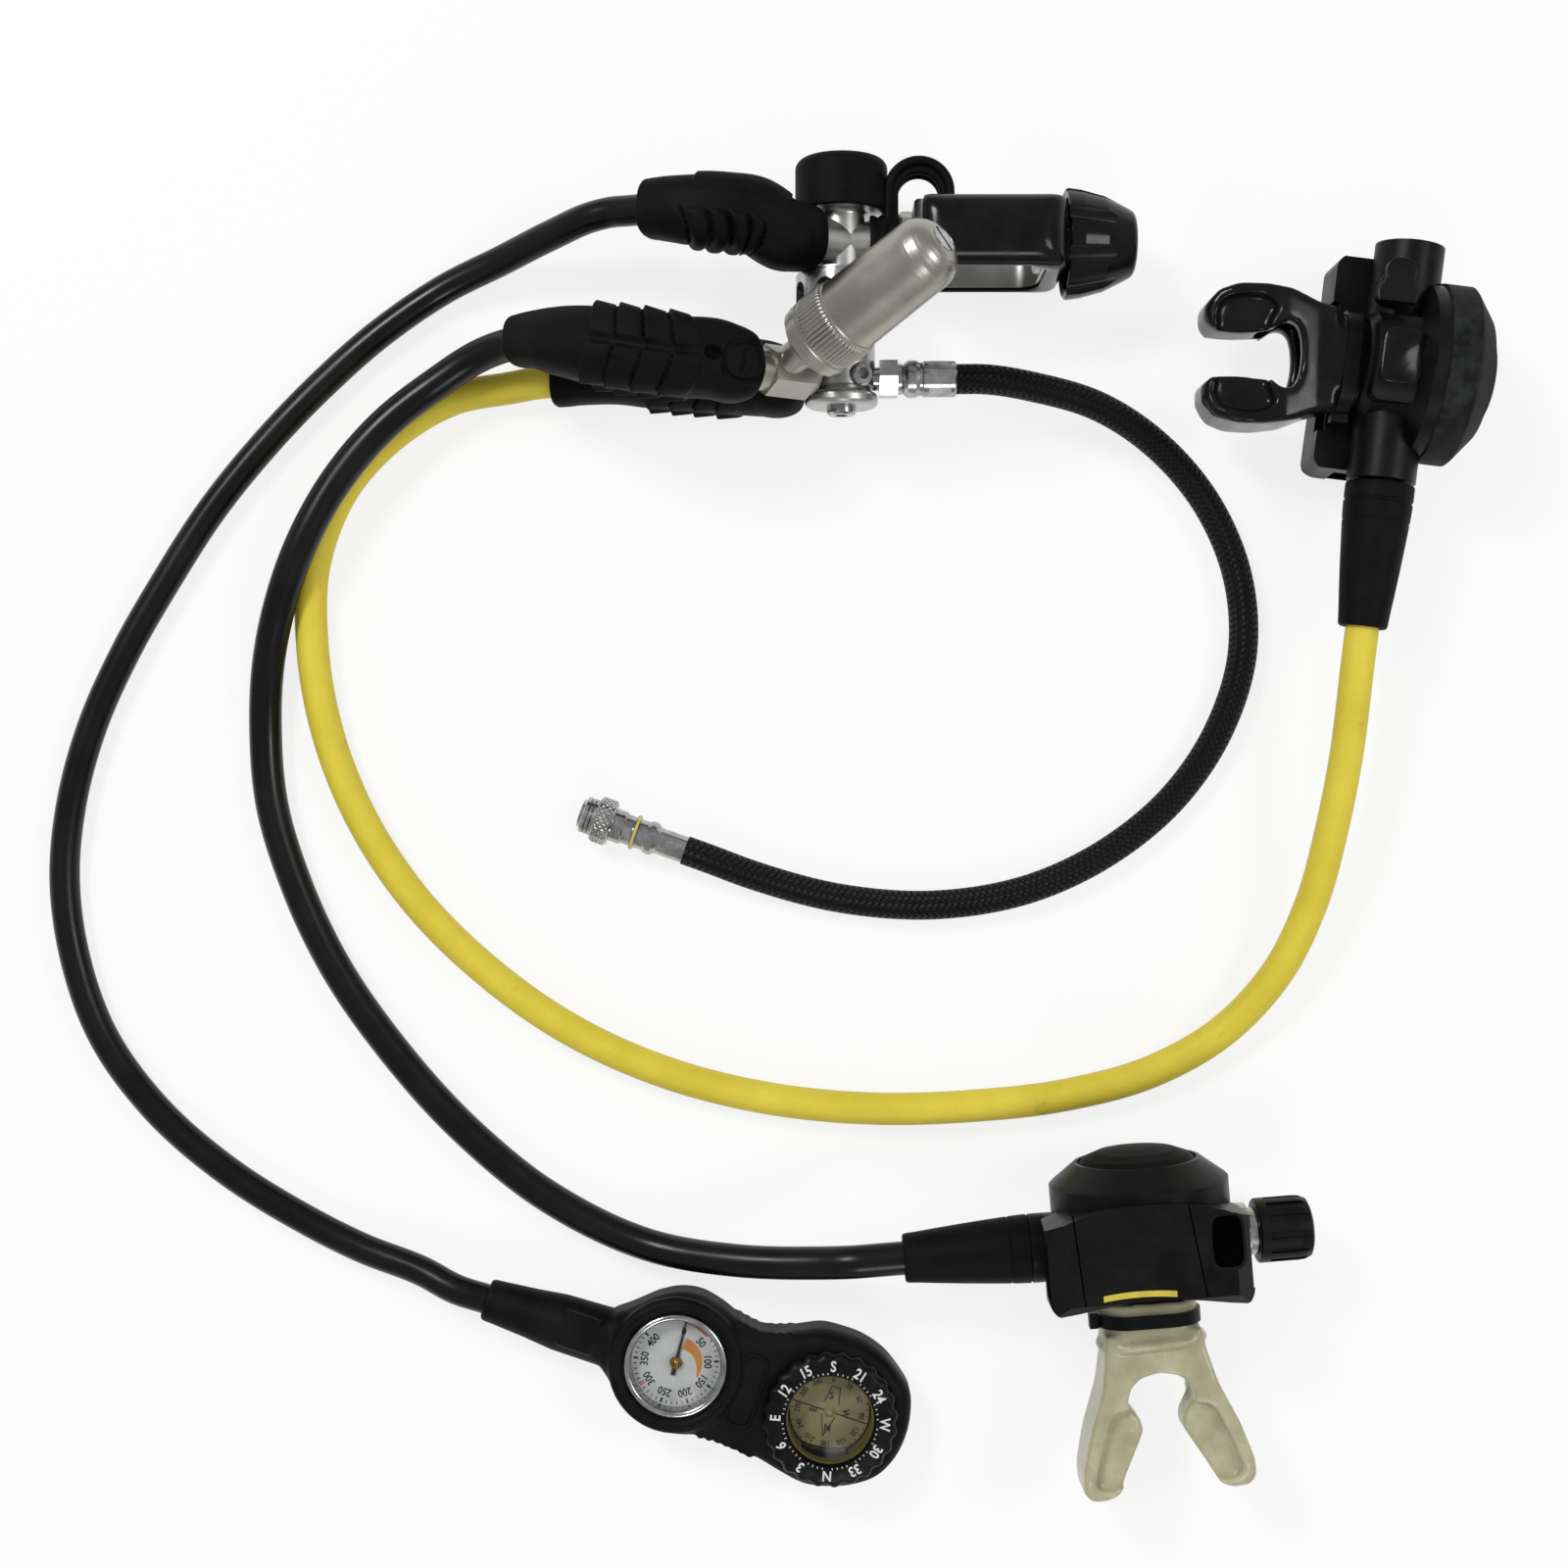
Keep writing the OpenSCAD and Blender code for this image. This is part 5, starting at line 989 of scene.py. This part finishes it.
def arc_band(inner, outer, start, end):
    """A flat band between two radii, which may change along it, as points and faces."""
    a = np.radians(np.linspace(start, end, 60))
    out = np.stack([np.cos(a), np.sin(a)], -1)
    edges = [np.broadcast_to(radius, a.shape)[:, None] * out for radius in (inner, outer)]
    return np.stack(edges, 1).reshape(-1, 2), grid_faces(60, 2, closed_columns=False).tolist()


LETTER_WIDTH = 0.86                # a narrower face than the built-in font's
BOLDNESS = 0.022                   # how far each outline is let out, for a letter 1 mm high


def glyphs(words, radius, angles, size):
    """Points and faces of words set round a circle, each with its top outwards."""
    points, faces = [], []
    for word, angle in zip(words, np.broadcast_to(angles, len(words))):
        curve = bpy.data.curves.new("word", "FONT")
        curve.body, curve.size = word, size
        curve.align_x, curve.align_y = "CENTER", "CENTER"
        curve.resolution_u = 3
        curve.offset = BOLDNESS * size
        holder = bpy.data.objects.new("word", curve)
        mesh = bpy.data.meshes.new_from_object(holder)
        flat = np.zeros(len(mesh.vertices) * 3)
        mesh.vertices.foreach_get("co", flat)
        x, y = flat.reshape(-1, 3)[:, 0] * LETTER_WIDTH, flat.reshape(-1, 3)[:, 1]
        a = math.radians(angle)
        faces += [[v + sum(map(len, points)) for v in face.vertices] for face in mesh.polygons]
        points.append(np.stack([(radius + y) * math.cos(a) + x * math.sin(a),
                                (radius + y) * math.sin(a) - x * math.cos(a)], -1))
        bpy.data.objects.remove(holder)
        bpy.data.curves.remove(curve)
    return np.concatenate(points), faces


def printed_piece(name, parts, height, at, material, body):
    """One flat piece from (points, faces) parts; height is a number or a function of radius."""
    faces, count = [], 0
    for flat, sides in parts:
        faces += [[v + count for v in side] for side in sides]
        count += len(flat)
    flat = np.concatenate([flat for flat, sides in parts])
    z = height(np.hypot(flat[:, 0], flat[:, 1])) if callable(height) else height
    points = np.column_stack([flat + at, np.broadcast_to(z, len(flat))])
    obj = mesh_object(name, console_place(points), faces)
    work = bmesh.new()
    work.from_mesh(obj.data)
    work.normal_update()
    bmesh.ops.reverse_faces(work, faces=[face for face in work.faces if face.normal.z < 0])
    work.to_mesh(obj.data)
    work.free()
    finish_piece(obj, material, body, 180)


# %% Gauge dial
DIAL_PRINT = 18.35                 # height of the print
ZERO, PER_BAR = 94.0, -0.748       # where 0 bar stands, and degrees for each bar
bars = np.arange(0, 401, 10)
labelled = bars % 50 == 0
warned = (bars <= 50) | (bars == 300)
dial = (0.0, 0.0)
printed_piece("gauge_marks",
              [ticks(ZERO + PER_BAR * bars[~labelled & ~warned], 15.3, 16.6, 0.35),
               ticks(ZERO + PER_BAR * bars[labelled & ~warned], 14.8, 16.7, 0.8),
               glyphs([str(bar) for bar in bars[labelled]], 12.2, ZERO + PER_BAR * bars[labelled],
                      4.2)],
              DIAL_PRINT, dial, INK, "console")
printed_piece("gauge_red_marks",
              [ticks(ZERO + PER_BAR * np.arange(2, 50, 3), 15.3, 16.5, 0.5),
               ticks(ZERO + PER_BAR * np.array([298, 302]), 14.4, 16.6, 0.45)],
              DIAL_PRINT, dial, RED_INK, "console")
sweep = np.linspace(0, 1, 60)
printed_piece("gauge_reserve_arc",
              [arc_band(10.2 - 4.8 * (1 - sweep) ** 0.6, 10.2, ZERO - 9, -19)],
              DIAL_PRINT, dial, ORANGE_INK, "console")
print("the gauge has", len(bars), "marks")

# %% Compass card and bezel
CARD_PRINT = 15.76                 # height of the print
NORTH = 100.5                      # where the card's 0 and the bezel's S stand
headings = np.arange(0, 360, 30)
CARD_TURN = NORTH - 98             # of the lines on the card
LEVEL_TURN = CARD_TURN - math.degrees(0.04)
# A line right across the card, the two sides of a pointer, and the three of a gate
lines = [[(-15.2, -0.25), (15.2, -0.25), (15.2, 0.25), (-15.2, 0.25)],
         [(-2.9, -1.6), (-2.5, -1.6), (0.2, -9.8), (-0.2, -9.8)],
         [(2.5, -1.6), (2.9, -1.6), (0.2, -9.8), (-0.2, -9.8)],
         [(-3.0, 3.4), (-2.6, 3.4), (-1.4, 10.0), (-1.8, 10.0)],
         [(2.6, 3.4), (3.0, 3.4), (1.8, 10.0), (1.4, 10.0)],
         [(-1.8, 9.7), (1.8, 9.7), (1.8, 10.0), (-1.8, 10.0)]]
printed_piece("compass_card_print",
              [glyphs([str(heading) for heading in headings], 12.5, NORTH - headings, 3.0),
               glyphs("SWNE", 6.2, NORTH - np.array([0, 90, 180, 270]), 4.0),
               ticks(np.arange(0, 360, 10) + NORTH, 14.4, 15.3, 0.35),
               quads(turned(lines[:1], LEVEL_TURN)), quads(turned(lines[1:], CARD_TURN))],
              CARD_PRINT, compass, INK, "compass_card")
# The mark that a heading is read at is a block on the bowl's wall, which bulges inwards.
swing = np.radians(np.linspace(-34, 34, 24))[:, None]
reach = 14.9 - 1.2 * np.cos(3 * swing)
out = np.column_stack([np.cos(swing), np.sin(swing)])
mark = prism("lubber_mark", np.concatenate([16.3 * out, (reach * out)[::-1]]), 16.2, 22.0)
placed(mark, lambda p: console_place(turned(p, NORTH - 180) + [LOBE_GAP, 0, 0]))
finish_piece(mark, PLASTIC, "console")


def bezel_height(radius):
    """The bezel's face falls slowly outwards from its inner lip, and the print lies on it."""
    return 29.82 - 0.076 * np.maximum(radius - 18.8, 0)


marks = np.arange(60)
BEZEL_TURN = NORTH + 4.5
printed_piece("bezel_print",
              [glyphs(["S", "21", "24", "W", "30", "33", "N", "3", "6", "E", "12", "15"], 20.9,
                      BEZEL_TURN - headings, 5.6),
               ticks(BEZEL_TURN + 6 * marks[marks % 5 != 0], 17.9, 18.7, 0.3)],
              bezel_height, compass, WHITE_INK, "compass_bezel")
print("the compass and its bezel are printed")

# %% [markdown]
# ## Knurls
# The capsule's joint has straight knurling, the connector's collar a diamond knurl, and a thin
# yellow ring marks the connector. Each is a band whose radius carries the pattern: a power of a
# cosine round the band, or of the product of two slanted sines.

# %% Knurled bands
def knurled_band(name, place, start, end, radius, relief, material, body, rows, around):
    """A band round the line place(x): the radius plus relief(x, angle), which fades out over
    half a millimetre at each end."""
    x = np.linspace(start, end, rows)
    turn = np.linspace(0, 2 * np.pi, around, endpoint=False)[None, :]
    edge = np.minimum(ramp(x, start, start + 0.5), 1 - ramp(x, end - 0.5, end))[:, None]
    path = np.array([place(value) for value in x]) - ORIGIN
    table = radius + relief(x[:, None], turn) * edge
    finish_piece(closed_tube(name, rings(path, table, around)), material, body, 50)
    print(name, "has", rows * around, "points")


CAPSULE_PORT = 30.0                # from the stage's axis to where the capsule's axis starts
CAPSULE_TILT = math.radians(33)    # its rise over the level, and its turn away from +X
CAPSULE_AXIS = np.array([math.cos(CAPSULE_TILT) ** 2,
                         math.cos(CAPSULE_TILT) * math.sin(CAPSULE_TILT),
                         math.sin(CAPSULE_TILT)])


def capsule_point(x):
    """The point x mm along the capsule's axis."""
    return port_point(UP_PORT, 0, CAPSULE_PORT) + x * CAPSULE_AXIS


def straight_knurl(x, turn):
    """54 ridges round the band, with narrow grooves between them."""
    return 0.75 * np.abs(np.cos(27 * turn)) ** 0.6


def diamond_knurl(x, turn):
    """Pyramids between two sets of slanted grooves."""
    return 0.6 * np.abs(np.sin(1.2 * x + 11 * turn) * np.sin(1.2 * x - 11 * turn)) ** 0.8


knurled_band("capsule_knurl", capsule_point, 24.4, 36.6, 14.6, straight_knurl, NICKEL,
             "regulator", 12, 648)
knurled_band("collar_knurl", coupling_point, 30.9, 36.7, 8.75, diamond_knurl, CHROME,
             "coupling_collar", 30, 352)
knurled_band("coupling_ring", coupling_point, 20.1, 21.1, 6.9, lambda x, turn: 0.2, YELLOW_BAND,
             "regulator", 8, 64)

# %% [markdown]
# ## Small details on the second stages
# Moulding seams, the outlets at the tee's ends, a yellow identification strip and a bare gloss
# panel. The seams and the outlet's opening are near-black slabs of painted shade. Each is a low
# slab whose lower part lies in the piece that carries it.

# %% Seams, outlets, strip and panel
primary_place = stage_place(PRIMARY_AT, PRIMARY_TURN, True)
octopus_place = stage_place(OCTOPUS_AT, OCTOPUS_TURN, False)
TEE_FACE = -36.0                   # the primary tee's top, which is its natural underside


def tee_detail(name, outline, raised, material):
    """A slab that stands `raised` mm over the tee's face and reaches half a mm into it."""
    slab = placed(prism(name, outline, TEE_FACE - raised, TEE_FACE + 0.5), primary_place)
    finish_piece(slab, material, "primary_stage", 50)


def bar(start, end, width):
    """The four corners of a straight bar."""
    a, b = np.array(start, float), np.array(end, float)
    side = np.array([-(b - a)[1], (b - a)[0]]) / np.linalg.norm(b - a) * width / 2
    return np.array([a - side, b - side, b + side, a + side])


# The seams are thin black slabs: painted shade, as in a fine groove.
tee_detail("tee_seam_shade_left", bar((29.9, 18.0), (27.7, -15.5), 0.55), 0.06, SHADE_BLACK)
tee_detail("tee_seam_shade_right", bar((-12.8, 18.5), (-17.2, -15.5), 0.55), 0.06, SHADE_BLACK)
OUTLET_AT = (-26.0, 4.5)
# The outlet's opening is a black pill of painted shade inside a gloss lip.
tee_detail("tee_outlet_shade_right", pill(5.6, 9.5, OUTLET_AT), 0.08, SHADE_BLACK)
tee_detail("tee_outlet_lip", pill(6.6, 10.6, OUTLET_AT), 0.05, GLOSS)
# The strip follows a slight arc, and is 2.2 mm wide.
along = np.linspace(-6, 21, 24)
middle = -12.3 - 0.9 * ((along - 7.5) / 13.5) ** 2
tee_detail("tee_strip", np.concatenate([np.stack([along, middle - 1.1], -1),
                                        np.stack([along, middle + 1.1], -1)[::-1]]),
           0.35, YELLOW_BAND)
PANEL_FOOT, PANEL_FACE = 23.0, 26.5            # heights over the octopus's middle
panel = placed(domed_slab("stage_panel", pill(10.2, 7.6, (-0.2, -4.0), 0.35).tolist(),
                          [(PANEL_FOOT, 0), (PANEL_FACE - 0.5, 0), (PANEL_FACE, 0.7)]),
               octopus_place)
finish_piece(panel, GLOSS, "octopus_stage", 50)
rounded("venturi_paddle", node_copy("venturi_lever"), [], [], 0.45, 9, PLASTIC, "venturi_lever",
        "venturi_lever")
print("details are placed")

# %% [markdown]
# ## Table and light
# A white table and a large soft lamp to the upper left, with weaker ones across from it. The
# table is nearly white to the camera and to reflections, and still takes the set's shadow.

# %% Table
TABLE_GLOW = 0.8                   # share of plain white in what the camera and mirrors see
TABLE_HALF = 6000.0                # mm
TABLE_DROP = 0.2                   # mm under zero, so that no flat underside shares its plane
table_material, table_tree, table_shader = new_material("white table", "#f0f0f0", 0.0, 0.9)
seen = add(table_tree, "LightPath")
glow = add(table_tree, "Emission", Color=(1.0, 1.0, 1.0, 1.0), Strength=1.0)
direct = add(table_tree, "Math", [(0, seen, "Is Camera Ray"), (1, seen, "Is Glossy Ray")],
             operation="MAXIMUM")
through = add(table_tree, "Math", [(0, direct, "Value"), (1, seen, "Is Transmission Ray")],
              operation="MAXIMUM")
share = add(table_tree, "Math", [(0, through, "Value")], operation="MULTIPLY")
share.inputs[1].default_value = TABLE_GLOW
blend = add(table_tree, "MixShader", [(0, share, "Value")])
table_tree.links.new(table_shader.outputs["BSDF"], blend.inputs[1])
table_tree.links.new(glow.outputs["Emission"], blend.inputs[2])
table_tree.links.new(blend.outputs["Shader"],
                     table_tree.nodes["Material Output"].inputs["Surface"])
table = mesh_object("table", [(-TABLE_HALF, -TABLE_HALF, 0), (TABLE_HALF, -TABLE_HALF, 0),
                              (TABLE_HALF, TABLE_HALF, 0), (-TABLE_HALF, TABLE_HALF, 0)],
                    [(0, 1, 2, 3)])
table.data.materials.append(table_material)
table.location.z = -TABLE_DROP * MM

# %% Light
ROOM_LIGHT = 0.42                  # strength of the white room for all but the camera's own rays
world = bpy.data.worlds.new("room")
bpy.context.scene.world = world
world.use_nodes = True
room = world.node_tree
backdrop = room.nodes["Background"]
backdrop.inputs["Color"].default_value = (1.0, 1.0, 1.0, 1.0)
seen = add(room, "LightPath")
level = add(room, "MapRange", [("Value", seen, "Is Camera Ray")], From_Min=0.0, From_Max=1.0,
            To_Min=ROOM_LIGHT, To_Max=1.0)
room.links.new(level.outputs["Result"], backdrop.inputs["Strength"])


def soft_lamp(name, place, size, power):
    """A square area lamp at a place in metres, with its side in metres and its power in watts,
    that faces the layout's zero."""
    data = bpy.data.lights.new(name, "AREA")
    data.size = size
    data.energy = power
    lamp = bpy.data.objects.new(name, data)
    lamp.location = place
    aim = Vector((-ORIGIN[0] * MM, -ORIGIN[1] * MM, 0)) - Vector(place)
    lamp.rotation_euler = aim.to_track_quat("-Z", "Y").to_euler()
    bpy.context.scene.collection.objects.link(lamp)


soft_lamp("key", (-0.9, 0.9, 1.5), 0.42, 17)
soft_lamp("fill", (1.1, 0.2, 1.3), 0.5, 7)
soft_lamp("front", (0.1, -1.3, 1.1), 0.45, 5)
bpy.context.scene.view_settings.view_transform = "Standard"
print("the table and", len(bpy.data.lights), "lamps are in place")
